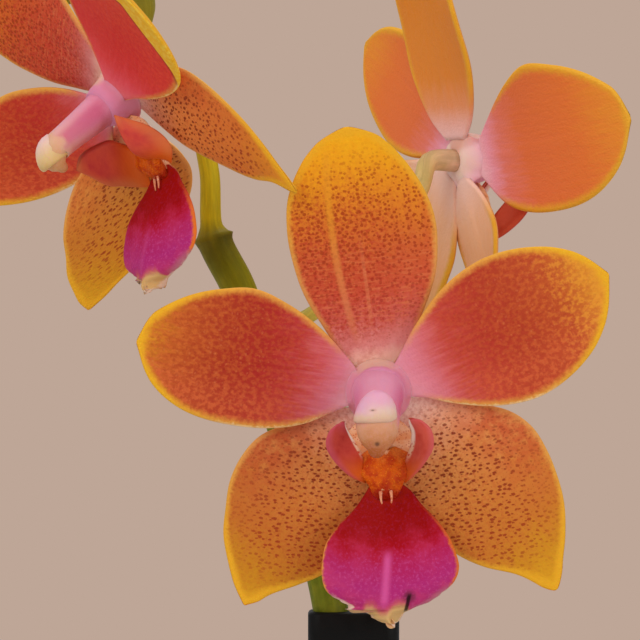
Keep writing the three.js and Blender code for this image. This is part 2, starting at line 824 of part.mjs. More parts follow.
const BUDS = [
  { path: [vec(-19.5, 6, 384), vec(-19, 9.5, 388), vec(-21.9, 10, 393.2), vec(-23.5, 9, 398.5)], fat: 4.3 },
  { path: [vec(-27, 4, 390), vec(-28.6, 5, 391), vec(-31.8, 6, 393.6), vec(-36.3, 6, 397)], fat: 3.6 },
];

function makeBud({ path, fat }) {
  const radius = (t) =>
    along(
      [
        [0, 0.9],
        [0.3, 1],
        [0.45, fat * 0.72],
        [0.62, fat],
        [0.8, fat * 0.8],
        [0.94, fat * 0.35],
        [1, 0.4],
      ],
      t,
    );
  const shares = [0, 0.15, 0.3, 0.38, 0.45, 0.54, 0.62, 0.72, 0.82, 0.93, 1];
  const bud = stem(path, radius, shares, 10, vec(0, 1, 0));
  return cut(bud, ...spikeSkins(GAP));
}

// Assembly

const plant = new THREE.Group();

function addPiece(group, name, geometry, color, roughness, metalness = 0) {
  const material = new THREE.MeshStandardMaterial({ color, roughness, metalness });
  const mesh = new THREE.Mesh(geometry, material);
  mesh.name = name;
  group.add(mesh);
}

addPiece(plant, "pot", makePot(), 0xe9e4da, 0.25);
addPiece(plant, "bark", makeBark([...crownSkins(GAP), stakeSkin(GAP)]), 0x6b4428, 0.9);
addPiece(plant, "crown_roots", joined(crownSkins()), 0x9aa583, 0.7);
LEAVES.forEach((leaf, index) => {
  addPiece(plant, `leaf_${index + 1}`, makeLeaf(leaf), 0x3f6a2c, 0.45);
});
addPiece(plant, "spike", joined(spikeSkins()), 0x6d7a1e, 0.5);
addPiece(plant, "stake", stakeSkin(), 0x2c3a26, 0.5);
addPiece(plant, "clip", makeClip(), 0x15161a, 0.35);
BUDS.forEach((bud, index) => {
  addPiece(plant, `bud_${index + 1}`, makeBud(bud), 0x8b8730, 0.5);
});

for (const bloom of BLOOMS) {
  const { name, centre, size, tepals } = bloom;
  const [right, upward] = bloom.basis.map((axis) => axis.clone().normalize());
  const facing = new THREE.Vector3().crossVectors(right, upward).normalize();
  const up = new THREE.Vector3().crossVectors(facing, right);
  const group = new THREE.Group();
  group.position.copy(centre);
  group.setRotationFromMatrix(new THREE.Matrix4().makeBasis(right, up, facing));
  plant.add(group);

  for (const [part, spec] of Object.entries(tepals)) {
    const petals = Object.entries(tepals).filter(([other]) => isPetal(other));
    const tools = isPetal(part)
      ? []
      : petals.map(([other, otherSpec]) => tepalClearance(other, otherSpec, size));
    const solid = cut(makeTepal(part, spec, size), ...tools);
    addPiece(group, `${name}_${part}`, solid, isPetal(part) ? 0xc4432f : 0xd98a35, 0.5);
  }
  addPiece(group, `${name}_lip`, makeLip(size, bloom.lipTurn, bloom.lipSwing), 0xa52a6e, 0.4);
  addPiece(group, `${name}_column`, columnSkin(size), 0xe1a5b4, 0.45);
  addPiece(group, `${name}_anther_cap`, makeAntherCap(size), 0xf0dcd6, 0.4);

  // The ovary and its stalk start behind the hub and end on the spike.
  const behind = (distance) => centre.clone().addScaledVector(facing, -distance);
  const stalk = [behind(1.4 * size + GAP), behind(6), ...bloom.pedicel];
  const radius = (t) => along([[0, 1.9], [0.25, 1.3], [0.6, PEDICEL_RADIUS], [1, 1.3]], t);
  const pedicel = stem(stalk, radius, evenShares(10), 8, vec(0, 0, 1));
  addPiece(plant, `${name}_pedicel`, cut(pedicel, ...spikeSkins(GAP)), 0xc9b65c, 0.5);
}

export default plant;
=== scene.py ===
# %% [markdown]
# # A moth orchid in its pot
# This notebook dresses a moth orchid: three blooms on a clipped spike, leaves, bark and a pot.
# The solid plant is loaded first and stays as the frame. Every piece below is made at the same
# place, in metres, and takes over from one or more of the solids.

# %% Load the solid plant
import math

import bmesh
import bpy
import numpy as np
from mathutils import Matrix, Vector, noise


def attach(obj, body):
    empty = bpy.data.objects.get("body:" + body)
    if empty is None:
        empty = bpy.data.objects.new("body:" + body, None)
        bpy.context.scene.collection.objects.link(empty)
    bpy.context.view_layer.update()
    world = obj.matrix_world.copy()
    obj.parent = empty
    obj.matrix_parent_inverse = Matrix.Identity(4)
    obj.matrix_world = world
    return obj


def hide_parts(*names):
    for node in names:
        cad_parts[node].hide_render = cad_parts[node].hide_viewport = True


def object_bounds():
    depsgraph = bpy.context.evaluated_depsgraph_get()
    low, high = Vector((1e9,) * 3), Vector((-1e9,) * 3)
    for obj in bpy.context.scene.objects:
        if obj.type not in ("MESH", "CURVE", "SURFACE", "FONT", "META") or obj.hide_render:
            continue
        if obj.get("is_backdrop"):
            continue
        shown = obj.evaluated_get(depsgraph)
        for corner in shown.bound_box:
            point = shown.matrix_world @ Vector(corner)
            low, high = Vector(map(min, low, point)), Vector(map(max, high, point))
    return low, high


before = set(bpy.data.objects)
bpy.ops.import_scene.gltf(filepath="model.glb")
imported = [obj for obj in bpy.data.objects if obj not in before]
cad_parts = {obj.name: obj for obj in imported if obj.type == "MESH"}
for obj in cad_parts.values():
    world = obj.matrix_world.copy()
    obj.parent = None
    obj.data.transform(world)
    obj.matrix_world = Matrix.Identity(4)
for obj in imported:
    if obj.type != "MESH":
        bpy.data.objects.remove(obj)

MM = 0.001
solid_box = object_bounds()
print("solids:", len(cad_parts), "box:", [tuple(round(c, 4) for c in p) for p in solid_box])

# %% [markdown]
# ## The camera
# The photograph is a close view from the height of the blooms, so the camera is level and far
# away with a long lens. A long lens keeps the petals from bulging towards the viewer.

# %% Camera
VIEW_CENTRE = (9.0, 341.0)
VIEW_DISTANCE = 500.0
FRONT_PLANE = -26.0
VIEW_WIDTH = 640 / 6.7

lens_data = bpy.data.cameras.new("close_view")
lens_data.sensor_width = 36.0
lens_data.lens = 36.0 * VIEW_DISTANCE / VIEW_WIDTH
lens_data.clip_start = 0.01
camera = bpy.data.objects.new("close_view", lens_data)
camera.location = Vector((VIEW_CENTRE[0], FRONT_PLANE - VIEW_DISTANCE, VIEW_CENTRE[1])) * MM
camera.rotation_euler = (math.pi / 2, 0, 0)
bpy.context.scene.collection.objects.link(camera)
bpy.context.scene.camera = camera
print("lens", round(lens_data.lens, 1), "mm")

# %% [markdown]
# ## Helpers for shader nodes
# A material is a small network. These few functions add a node, do a sum, blend two colours or
# turn a range into a soft step, so that each material below reads like a recipe. A socket knows
# the tree that it belongs to, so the tree is named only where a recipe starts.

# %% Shader helpers
def srgb(red, green, blue):
    """A colour picked on a screen, as the linear numbers that Blender mixes."""
    steps = [c / 255 for c in (red, green, blue)]
    return (*[c / 12.92 if c <= 0.04045 else ((c + 0.055) / 1.055) ** 2.4 for c in steps], 1.0)


def wire(target, value):
    """A socket is linked to the target, and a plain number or colour is set on it."""
    if isinstance(value, bpy.types.NodeSocket):
        target.id_data.links.new(value, target)
    else:
        target.default_value = value


def add_node(tree, kind, inputs=None, **settings):
    made = tree.nodes.new("ShaderNode" + kind)
    for key, value in settings.items():
        setattr(made, key, value)
    for key, value in (inputs or {}).items():
        wire(made.inputs[key], value)
    return made


def tree_of(values):
    return next(v.id_data for v in values if isinstance(v, bpy.types.NodeSocket))


def node(kind, inputs, **settings):
    """A node in the tree of the first socket that feeds it."""
    return add_node(tree_of(inputs.values()), kind, inputs, **settings)


def calc(operation, *values):
    return node("Math", dict(enumerate(values)), operation=operation).outputs[0]


def chain(operation, first, *others):
    for value in others:
        first = calc(operation, first, value)
    return first


def plus(*values):
    return chain("ADD", *values)


def times(*values):
    return chain("MULTIPLY", *values)


def minus(value, less):
    return calc("SUBTRACT", value, less)


def ratio(value, whole):
    return calc("DIVIDE", value, whole)


def scaled(value, factor, shift):
    return calc("MULTIPLY_ADD", value, factor, shift)


def distance(value, place):
    return calc("ABSOLUTE", minus(value, place))


def jitter(value, pattern, reach):
    """The value, moved up to half the reach either way by a pattern that runs from 0 to 1."""
    return plus(value, scaled(pattern, reach, -reach / 2))


def soft_step(value, start, end, low=0.0, high=1.0):
    numbers = {0: value, 1: start, 2: end, 3: low, 4: high}
    return node("MapRange", numbers, interpolation_type="SMOOTHSTEP").outputs[0]


def tint(share, below, above):
    """One colour below and one above. A plain (red, green, blue) is a colour picked on a screen."""
    below, above = (srgb(*tone) if isinstance(tone, tuple) else tone for tone in (below, above))
    return node("Mix", {0: share, 6: below, 7: above}, data_type="RGBA").outputs[2]


def palette(value, stops):
    """Colours picked on a screen, at rising places of the value."""
    made = node("ValToRGB", {0: value})
    band = made.color_ramp
    for place, _ in stops[2:]:
        band.elements.new(place)
    for element, (place, tone) in zip(band.elements, stops):
        element.position = place
        element.color = srgb(*tone)
    return made.outputs[0]


def apart(vector):
    return node("SeparateXYZ", {0: vector}).outputs


def together(x, y, z=0.0):
    return node("CombineXYZ", {0: x, 1: y, 2: z}).outputs[0]


def stain(vector, scale, detail=3.0, roughness=0.55):
    numbers = {"Vector": vector, "Scale": scale, "Detail": detail, "Roughness": roughness}
    return node("TexNoise", numbers, normalize=True).outputs[0]


def new_group(title, takes, gives):
    """A node group with named sockets. Returns it with its inputs and outputs inside."""
    group = bpy.data.node_groups.new(title, "ShaderNodeTree")
    for label, kind, start in takes:
        socket = group.interface.new_socket(label, in_out="INPUT", socket_type=kind)
        if start is not None:
            socket.default_value = start
    for label, kind in gives:
        group.interface.new_socket(label, in_out="OUTPUT", socket_type=kind)
    inside = group.nodes.new("NodeGroupInput").outputs
    outside = group.nodes.new("NodeGroupOutput").inputs
    return group, inside, outside


def use(group, tree=None, **values):
    """A group in the tree of its inputs. Where it gives a single thing, that is returned."""
    made = (tree or tree_of(values.values())).nodes.new("ShaderNodeGroup")
    made.node_tree = group
    for label, value in values.items():
        wire(made.inputs[label], value)
    return made.outputs if len(made.outputs) > 1 else made.outputs[0]


FLOAT, VECTOR = "NodeSocketFloat", "NodeSocketVector"
print("shader helpers ready")

# %% [markdown]
# ## Patterns that several tissues share
# Petals, sepals, lips and leaves are all thin sheets. Each mesh made below carries two sets of
# numbers on its points: where the point is on the flat sheet in millimetres with its distance
# from the rim, and its share of the length, its side and whether it is the front face. The groups
# here turn those numbers into spots, streaks, rims and fine cell relief.

# %% Group: where a point is on its sheet
SHEET, inside, outside = new_group(
    "Sheet place",
    [],
    [("Flat", VECTOR), ("Across", FLOAT), ("Along", FLOAT), ("Rim", FLOAT), ("Share", FLOAT),
     ("Side", FLOAT), ("Front", FLOAT)],
)
flat = add_node(SHEET, "Attribute", attribute_name="sheet_mm").outputs["Vector"]
flat_parts = apart(flat)
share_parts = apart(add_node(SHEET, "Attribute", attribute_name="sheet_share").outputs["Vector"])
wire(outside["Flat"], together(flat_parts[0], flat_parts[1]))
for label, socket in zip(("Across", "Along", "Rim"), flat_parts):
    wire(outside[label], socket)
for label, socket in zip(("Share", "Side", "Front"), share_parts):
    wire(outside[label], socket)
print("group", SHEET.name)

# %% Group: scattered spots or dashes
SPOTS, inside, outside = new_group(
    "Spots",
    [("Flat", VECTOR, None), ("Spacing", FLOAT, 1.0), ("Stretch", FLOAT, 1.0), ("Size", FLOAT, 0.3),
     ("Blur", FLOAT, 0.12), ("Amount", FLOAT, 0.8), ("Ragged", FLOAT, 0.6)],
    [("Mask", FLOAT)],
)
x, y, _ = apart(inside["Flat"])
x = ratio(x, times(inside["Spacing"], inside["Stretch"]))
y = ratio(y, inside["Spacing"])
where = together(x, y)
cells = node("TexVoronoi", {"Vector": where, "Scale": 1.0}, voronoi_dimensions="2D")
lottery = apart(cells.outputs["Color"])
radius = times(inside["Size"], scaled(lottery[1], 0.8, 0.6))
frayed = minus(stain(where, 3.2, 2.0), 0.5)
depth = minus(radius, cells.outputs["Distance"])
depth = plus(depth, times(frayed, inside["Ragged"]))
mask = ratio(plus(depth, times(inside["Blur"], 0.5)), inside["Blur"])
chosen = calc("LESS_THAN", lottery[0], inside["Amount"])
wire(outside["Mask"], times(soft_step(mask, 0.0, 1.0), chosen))
print("group", SPOTS.name)

# %% Group: fine mottling
MOTTLE, inside, outside = new_group(
    "Mottling",
    [("Flat", VECTOR, None), ("Grain", FLOAT, 0.8), ("Long", FLOAT, 1.0), ("Cut", FLOAT, 0.5)],
    [("Mask", FLOAT)],
)
x, y, _ = apart(inside["Flat"])
x = ratio(x, inside["Grain"])
y = ratio(y, times(inside["Grain"], inside["Long"]))
grains = stain(together(x, y), 1.0, 3.0, 0.6)
wire(outside["Mask"], soft_step(minus(grains, inside["Cut"]), -0.06, 0.18))
print("group", MOTTLE.name)

# %% Group: streaks that run along the sheet
STREAKS, inside, outside = new_group(
    "Streaks",
    [("Flat", VECTOR, None), ("Fine", FLOAT, 1.0), ("Long", FLOAT, 8.0)],
    [("Value", FLOAT)],
)
x, y, _ = apart(inside["Flat"])
y = ratio(y, inside["Long"])
wire(outside["Value"], stain(together(x, y), inside["Fine"], 4.0))
print("group", STREAKS.name)

# %% Group: a rim of another colour
RIM, inside, outside = new_group(
    "Rim",
    [("Flat", VECTOR, None), ("Rim", FLOAT, 1.0), ("Width", FLOAT, 1.0), ("Blur", FLOAT, 0.5)],
    [("Mask", FLOAT)],
)
ragged = stain(inside["Flat"], 1.2, 4.0, 0.65)
edge = jitter(inside["Rim"], ragged, -1.2)
outer = plus(inside["Width"], inside["Blur"])
wire(outside["Mask"], soft_step(edge, outer, inside["Width"]))
print("group", RIM.name)

# %% Group: the fine sparkling cells of a petal
CELLS, inside, outside = new_group(
    "Cell relief",
    [("Flat", VECTOR, None), ("Cell", FLOAT, 0.35)],
    [("Height", FLOAT)],
)
scale = ratio(1.0, inside["Cell"])
domes = node("TexVoronoi", {"Vector": inside["Flat"], "Scale": scale}, voronoi_dimensions="2D")
rolling = stain(inside["Flat"], 0.8, 4.0)
low = times(domes.outputs["Distance"], -0.35)
wire(outside["Height"], plus(low, rolling))
print("group", CELLS.name)

# %% [markdown]
# ## One way to finish a tissue
# All plant tissue is waxy, a little see-through and soft in its highlights. The Principled shader
# stays in each material. Only its colour, roughness and relief come from the patterns.

# %% Finish a tissue
def new_material(title):
    material = bpy.data.materials.new(title)
    material.use_nodes = True
    tree = material.node_tree
    return material, tree, tree.nodes["Principled BSDF"]


def finish_tissue(shader, colour, height, depth=0.1, roughness=0.5, glow=0.1, shine=0.12):
    wire(shader.inputs["Base Color"], colour)
    if not isinstance(roughness, bpy.types.NodeSocket):
        roughness = soft_step(height, 0.2, 0.9, roughness - 0.07, roughness + 0.07)
    wire(shader.inputs["Roughness"], roughness)
    relief(shader, height, depth)
    shader.inputs["Subsurface Weight"].default_value = glow
    shader.inputs["Subsurface Radius"].default_value = (1.0, 0.45, 0.25)
    shader.inputs["Subsurface Scale"].default_value = 0.0012
    shader.inputs["Specular IOR Level"].default_value = shine


def object_place(tree):
    """The place in millimetres, for bodies that are not sheets."""
    place = add_node(tree, "TexCoord").outputs["Object"]
    return node("VectorMath", {0: place, 3: 1000.0}, operation="SCALE").outputs[0]


def drifted(share, streak, reach):
    """The share shifted by streaks, so that colours run into each other. It is still at the base."""
    shift = times(minus(streak, 0.5), soft_step(share, 0.0, 0.4, 0.15 * reach, reach))
    return plus(share, shift)


def rim_of(sheet, width, blur):
    return use(RIM, Flat=sheet["Flat"], Rim=sheet["Rim"], Width=width, Blur=blur)


def relief(shader, height, depth):
    """Fine relief on the normals, its depth in millimetres."""
    made = node("Bump", {"Height": height, "Distance": depth * MM, "Strength": 1.0})
    wire(shader.inputs["Normal"], made.outputs[0])


print("tissue finish ready")

# %% [markdown]
# ## Petals
# The petals are deep red, finely grained with orange towards the tip, with a golden rim and a pink
# base where fine rays lead to the column. The lower edge near the base carries a pale painted
# highlight of a turned-up edge catching the light.
# Their backs are a smooth salmon orange.

# %% Petal finish
PETAL_TONES = [
    (0.0, (228, 164, 176)), (0.09, (214, 116, 134)), (0.18, (202, 80, 84)), (0.28, (188, 56, 50)),
    (0.42, (174, 42, 34)), (0.56, (170, 48, 28)), (0.7, (178, 66, 30)), (0.84, (194, 92, 34)),
    (0.95, (212, 132, 32)), (1.0, (228, 154, 28))]
PETAL_BACK_TONES = [
    (0.0, (244, 196, 206)), (0.1, (240, 160, 178)), (0.2, (232, 128, 112)), (0.36, (230, 118, 68)),
    (0.7, (234, 124, 58)), (1.0, (238, 152, 50))]


def finish_tepal(shader, sheet, streak, body, back, back_rim):
    """The back face with its golden rim, then cells and fine ribs on both faces."""
    masked = times(rim_of(sheet, 0.2, 1.7), soft_step(sheet["Share"], 0.1, 0.3))
    back = tint(masked, back, back_rim)
    body = tint(soft_step(sheet["Front"], 0.25, 0.6), back, body)
    cells = use(CELLS, Flat=sheet["Flat"], Cell=0.4)
    height = plus(cells, times(streak, 0.9))
    finish_tissue(shader, body, height, 0.12, 0.5)


def petal_finish(title, lift=0.0, fold=0.0, lifted=(228, 104, 58), golden_tip=False):
    """lift blends the whole petal with the lifted tone, which is painted light on the lit petal and a
    brighter red on the others, fold is the width of a yellow margin that is rolled back, and
    golden_tip makes the tip more golden and the base pinker."""
    material, tree, shader = new_material(title)
    sheet = use(SHEET, tree)
    flat, share, side = sheet["Flat"], sheet["Share"], sheet["Side"]
    streak = use(STREAKS, Flat=flat, Fine=1.3, Long=7.0)
    placed = drifted(share, streak, 0.26)
    placed = plus(placed, times(soft_step(side, -0.8, 0.4, -1.0, 0.3), 0.035))
    body = palette(placed, PETAL_TONES)
    orange = use(MOTTLE, Flat=flat, Grain=0.72, Long=1.3, Cut=0.46)
    body = tint(times(orange, soft_step(share, 0.15, 0.85, 0.12, 0.6)), body, (212, 108, 44))
    dark = use(MOTTLE, Flat=flat, Grain=0.5, Long=1.6, Cut=0.5)
    body = tint(times(dark, soft_step(share, 0.15, 0.35), 0.3), body, (150, 28, 20))
    rays = use(STREAKS, Flat=flat, Fine=2.0, Long=10.0)
    rays = times(soft_step(rays, 0.42, 0.7), soft_step(share, 0.42, 0.1), 0.3)
    body = tint(rays, body, (232, 138, 146))
    glints = use(SPOTS, Flat=flat, Spacing=0.7, Size=0.2, Amount=0.2)
    body = tint(times(glints, soft_step(share, 0.2, 0.5), 0.16), body, (236, 150, 90))
    low = times(soft_step(side, -0.1, -0.75), soft_step(share, 0.15, 0.4),
                soft_step(orange, 0.0, 1.0, 0.2, 0.5))
    body = tint(low, body, (222, 104, 62))
    # For the lit petal this blend is painted light; for the left bloom's petals it is a brighter red
    body = tint(lift, body, lifted)
    if golden_tip:
        body = tint(soft_step(share, 0.26, 0.02, 0.0, 0.55), body, (228, 146, 166))
        outward = jitter(share, orange, 0.12)
        body = tint(soft_step(outward, 0.7, 1.0, 0.0, 0.72), body, (238, 166, 48))
    wide = times(soft_step(share, 0.7, 1.0), 0.6)
    rim = rim_of(sheet, wide, plus(wide, 1.5))
    rim = times(rim, soft_step(share, 0.04, 0.22))
    rim_tone = tint(soft_step(share, 0.45, 0.9), (228, 160, 68), (236, 174, 34))
    body = tint(rim, body, rim_tone)
    # A pale painted highlight along the lower edge near the base, where a turned-up edge catches the light
    lower_edge_highlight = rim_of(sheet, 0.06, 0.4)
    lower_edge_highlight = times(lower_edge_highlight, soft_step(side, -0.1, -0.6), soft_step(share, 0.06, 0.16),
                      soft_step(share, 0.66, 0.5))
    body = tint(lower_edge_highlight, body, (242, 200, 140))
    if fold:
        inward = minus(sheet["Rim"], soft_step(share, 0.42, 0.8, 0.1, fold))
        one_side = soft_step(side, -0.1, -0.3)
        shade = soft_step(distance(inward, 0.2), 0.5, 0.0)
        body = tint(times(shade, one_side, soft_step(share, 0.4, 0.5), 0.6), body, (128, 44, 16))
        rolled = times(soft_step(inward, 0.15, -0.1), one_side)
        body = tint(rolled, body, tint(orange, (238, 178, 36), (240, 196, 70)))
    back = palette(placed, PETAL_BACK_TONES)
    finish_tepal(shader, sheet, streak, body, back, (234, 170, 48))
    return material


print("petal finish ready")

# %% [markdown]
# ## Sepals
# The dorsal sepal is golden at its tip and rosy at its base, with small dark dots, fine reddish
# grain and a pale stripe beside its middle. The two lateral sepals carry dark dashes, boldest
# beside the lip. One recipe makes both kinds: only the tones, dots and stripe differ.

# %% Sepal finish
SEPAL_KINDS = {
    "dorsal": {
        "stops": [(0.0, (240, 206, 176)), (0.05, (236, 180, 162)), (0.1, (222, 138, 132)),
                  (0.2, (208, 98, 84)), (0.32, (204, 84, 54)), (0.46, (206, 94, 46)), (0.6, (216, 116, 38)),
                  (0.74, (228, 140, 28)), (0.86, (238, 160, 20)), (1.0, (244, 176, 22))],
        "back": [(0.0, (242, 200, 196)), (0.07, (240, 180, 165)), (0.15, (232, 150, 100)),
                 (0.28, (228, 138, 52)), (0.7, (232, 140, 36)), (1.0, (238, 162, 34))],
        "ruddy": (180, 46, 30), "spot": (150, 32, 20), "far_spot": (170, 66, 14), "turn": 0,
        "bold": (0.08, 0.98),
        "dots": {"Spacing": 0.74, "Stretch": 1.0, "Size": 0.28, "Amount": 0.8, "Blur": 0.2, "Ragged": 0.45},
    },
    "lateral": {
        "stops": [(0.0, (246, 220, 208)), (0.08, (242, 194, 172)), (0.16, (230, 164, 122)),
                  (0.3, (222, 146, 78)), (0.5, (212, 130, 54)), (0.7, (204, 122, 40)),
                  (0.84, (208, 140, 28)), (1.0, (222, 164, 26))],
        "back": [(0.0, (250, 208, 196)), (0.2, (248, 190, 150)), (0.5, (244, 172, 108)),
                 (1.0, (236, 162, 60))],
        "ruddy": (194, 72, 40), "spot": (126, 32, 14), "far_spot": (160, 56, 22), "turn": 33,
        "bold": (0.02, 0.96),
        "dots": {"Spacing": 0.72, "Stretch": 1.6, "Size": 0.23, "Amount": 0.92, "Blur": 0.14,
                 "Ragged": 0.45},
    },
}


def sepal_finish(title, kind, redder=0.0, stripe=0.0, wash=(0.0, (236, 176, 60))):
    """redder adds to the red grain, stripe shows the pale stripe, wash blends in a (share, tone)."""
    look = SEPAL_KINDS[kind]
    material, tree, shader = new_material(title)
    sheet = use(SHEET, tree)
    flat, share, side = sheet["Flat"], sheet["Share"], sheet["Side"]
    streak = use(STREAKS, Flat=flat, Fine=0.9, Long=5.0)
    placed = drifted(share, streak, 0.2)
    body = palette(placed, look["stops"])
    clouds = stain(flat, 0.5, 4.0, 0.7)
    grain = use(MOTTLE, Flat=flat, Grain=0.6, Long=1.0, Cut=0.46)
    if kind == "lateral":
        ruddy = times(soft_step(side, -0.2, 0.7), soft_step(share, 0.85, 0.35),
                      soft_step(clouds, 0.25, 0.6))
        ruddy = times(ruddy, soft_step(share, 0.08, 0.3))
        ruddy = calc("MAXIMUM", times(ruddy, 0.75), times(grain, soft_step(share, 0.9, 0.5, 0.1, 0.34)))
    else:
        ruddy = times(grain, soft_step(share, 0.93, 0.55, 0.05, 0.72), soft_step(share, 0.06, 0.2))
        ruddy = calc("MAXIMUM", ruddy,
                     times(soft_step(clouds, 0.36, 0.64), soft_step(share, 0.85, 0.4), 0.38))
        ruddy = times(ruddy, soft_step(side, -0.75, 0.0, 0.2, 1.0))
    ruddy = calc("MINIMUM", plus(ruddy, redder), 0.92)
    body = tint(ruddy, body, look["ruddy"])
    if wash[0]:
        body = tint(soft_step(share, 0.06, 0.34, 0.0, wash[0]), body, wash[1])
    if kind == "dorsal":
        lines = use(MOTTLE, Flat=flat, Grain=2.6, Long=0.16, Cut=0.52)
        lines = times(lines, soft_step(share, 0.62, 0.42), soft_step(share, 0.12, 0.24), 0.45)
        body = tint(lines, body, (222, 124, 74))
    x, y, _ = apart(flat)
    turn = math.radians(look["turn"])
    across = plus(times(x, math.cos(turn)), times(y, math.sin(turn)))
    upward = minus(times(y, math.cos(turn)), times(x, math.sin(turn)))
    spots = use(SPOTS, Flat=together(across, upward), **look["dots"])
    start, end = look["bold"]
    bold = times(soft_step(share, end, 0.72 * end, 0.0, 0.88), soft_step(share, start, start + 0.2))
    if kind == "dorsal":
        bold = times(bold, soft_step(share, 0.3, 0.6, 0.55, 0.95))
    if kind == "lateral":
        bold = times(bold, soft_step(side, 0.85, 0.2, 0.4, 1.0))
    spot_tone = tint(soft_step(share, 0.25, 0.8), look["spot"], look["far_spot"])
    body = tint(times(spots, bold), body, spot_tone)
    freckles = use(SPOTS, Flat=flat, Spacing=0.5, Size=0.24, Amount=0.4)
    freckles = times(freckles, soft_step(share, 0.92, 0.6, 0.0, 0.36), soft_step(share, 0.05, 0.15))
    body = tint(freckles, body, look["far_spot"])
    if stripe:
        # The stripe bows a little towards the left rim.
        bow = scaled(share, times(share, -7.2), scaled(share, 8.4, 1.1))
        band = soft_step(distance(sheet["Across"], bow), 0.85, 0.15)
        fade = times(soft_step(share, 0.08, 0.25), soft_step(share, 0.95, 0.85), stripe)
        band_tone = tint(soft_step(share, 0.2, 0.75), (218, 126, 80), (230, 152, 34))
        body = tint(times(band, fade), body, band_tone)
        vein = calc("ABSOLUTE", plus(sheet["Across"], 0.45))
        vein = times(soft_step(vein, 0.4, 0.1), soft_step(share, 0.15, 0.25), soft_step(share, 0.6, 0.4),
                     0.4)
        body = tint(vein, body, (220, 126, 80))
    wide = scaled(soft_step(share, 0.65, 1.0), 0.7, 0.1)
    rim = rim_of(sheet, wide, plus(wide, 1.0))
    rim = times(rim, soft_step(share, 0.04, 0.25, 0.1, 0.9))
    rim_tone = tint(soft_step(share, 0.3, 0.9), (222, 154, 82), (234, 170, 34))
    body = tint(rim, body, rim_tone)
    back = palette(placed, look["back"])
    finish_tepal(shader, sheet, streak, body, back, (234, 170, 46))
    return material


print("sepal finish ready for", ", ".join(SEPAL_KINDS))

# %% [markdown]
# ## Shapes in mesh code
# Three kinds of form are enough for a plant: a sheet with a rounded rim, a skin over rings, and
# turned work for the pot. They are written once here. A curve through a few rows of numbers gives
# outlines, so that a petal needs about ten rows and not a thousand points.

# %% Curves through a few rows
def along(rows, where, column=1):
    """A smooth value through rows of (where, value, value ...), read at one or many places."""
    rows = np.array(rows, float)
    where = np.asarray(where, float)
    at, value = rows[:, 0], rows[:, column]
    last = len(at) - 1
    behind = np.maximum(np.arange(last + 1) - 1, 0)
    ahead = np.minimum(np.arange(last + 1) + 1, last)
    slope = (value[ahead] - value[behind]) / (at[ahead] - at[behind])
    i = np.clip(np.searchsorted(at, where, side="left") - 1, 0, last - 1)
    span = at[i + 1] - at[i]
    t = (where - at[i]) / span
    t2, t3 = t * t, t * t * t
    return ((2 * t3 - 3 * t2 + 1) * value[i] + (t3 - 2 * t2 + t) * span * slope[i]
            + (3 * t2 - 2 * t3) * value[i + 1] + (t3 - t2) * span * slope[i + 1])


def smoothstep(value, start=0.0, end=1.0):
    t = np.clip((value - start) / (end - start), 0, 1)
    return t * t * (3 - 2 * t)


def unit(vectors):
    return vectors / np.maximum(np.linalg.norm(vectors, axis=-1, keepdims=True), 1e-12)


def smooth_path(points, samples=60):
    """Points at even steps along a centripetal curve through the given ones, in both arrays."""
    p = np.array(points, float)
    p = np.vstack([2 * p[0] - p[1], p, 2 * p[-1] - p[-2]])
    run = []
    for i in range(1, len(p) - 2):
        gaps = [max(np.linalg.norm(p[i + k] - p[i + k - 1]) ** 0.5, 1e-6) for k in range(3)]
        a, b, c, d = p[i - 1:i + 3]
        first = (b - a) / gaps[0] - (c - a) / (gaps[0] + gaps[1]) + (c - b) / gaps[1]
        second = (c - b) / gaps[1] - (d - b) / (gaps[1] + gaps[2]) + (d - c) / gaps[2]
        first, second = first * gaps[1], second * gaps[1]
        for t in np.linspace(0, 1, 40, endpoint=False):
            run.append((2 * t**3 - 3 * t**2 + 1) * b + (t**3 - 2 * t**2 + t) * first
                       + (3 * t**2 - 2 * t**3) * c + (t**3 - t**2) * second)
    run = np.array(run + [p[-2]])
    length = np.concatenate([[0], np.cumsum(np.linalg.norm(np.diff(run, axis=0), axis=1))])
    even = np.linspace(0, length[-1], samples)
    return np.stack([np.interp(even, length, run[:, k]) for k in range(3)], axis=1), length[-1]


print("a test curve is", round(smooth_path([(0, 0, 0), (1, 0, 0), (1, 1, 0)])[1], 3), "long")

# %% Meshes from arrays
def to_object(title, points, faces, flat_mm=None, share=None):
    mesh = bpy.data.meshes.new(title)
    mesh.from_pydata((np.asarray(points) * MM).tolist(), [], faces)
    for label, rows in (("sheet_mm", flat_mm), ("sheet_share", share)):
        if rows is not None:
            layer = mesh.attributes.new(label, "FLOAT_VECTOR", "POINT")
            layer.data.foreach_set("vector", np.asarray(rows, np.float32).ravel())
    mesh.shade_smooth()
    mesh.validate()
    piece = bpy.data.objects.new(title, mesh)
    bpy.context.scene.collection.objects.link(piece)
    return piece


def dress(piece, material, slot, *solids):
    """The piece gets its finish, takes over from its solids and rides with the plant."""
    piece.data.materials.append(material)
    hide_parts(*solids)
    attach(piece, "root")
    return piece


def merge(title, pieces):
    """Several pieces as one mesh. Sheet numbers are kept where every piece has them."""
    points, faces, flats, shares = [], [], [], []
    for piece in pieces:
        start = sum(len(p) for p in points)
        mesh = piece.data
        count = len(mesh.vertices)
        for store, label, fill in ((points, None, 0), (flats, "sheet_mm", 9.0),
                                   (shares, "sheet_share", 1.0)):
            numbers = np.full(count * 3, fill, np.float32)
            if label is None:
                mesh.vertices.foreach_get("co", numbers)
            elif label in mesh.attributes:
                mesh.attributes[label].data.foreach_get("vector", numbers)
            store.append(numbers.reshape(-1, 3))
        faces += [tuple(start + v for v in face.vertices) for face in mesh.polygons]
        bpy.data.objects.remove(piece)
    return to_object(title, np.vstack(points) / MM, faces, np.vstack(flats), np.vstack(shares))


print("mesh helpers ready")

# %% [markdown]
# A sheet is drawn by a function that gives the place of its front face for two shares: along it
# and across it. The back face lies one thickness behind. The thickness runs out to nothing in a
# quarter round at the rim, which is how the edge of a fleshy petal catches the light.

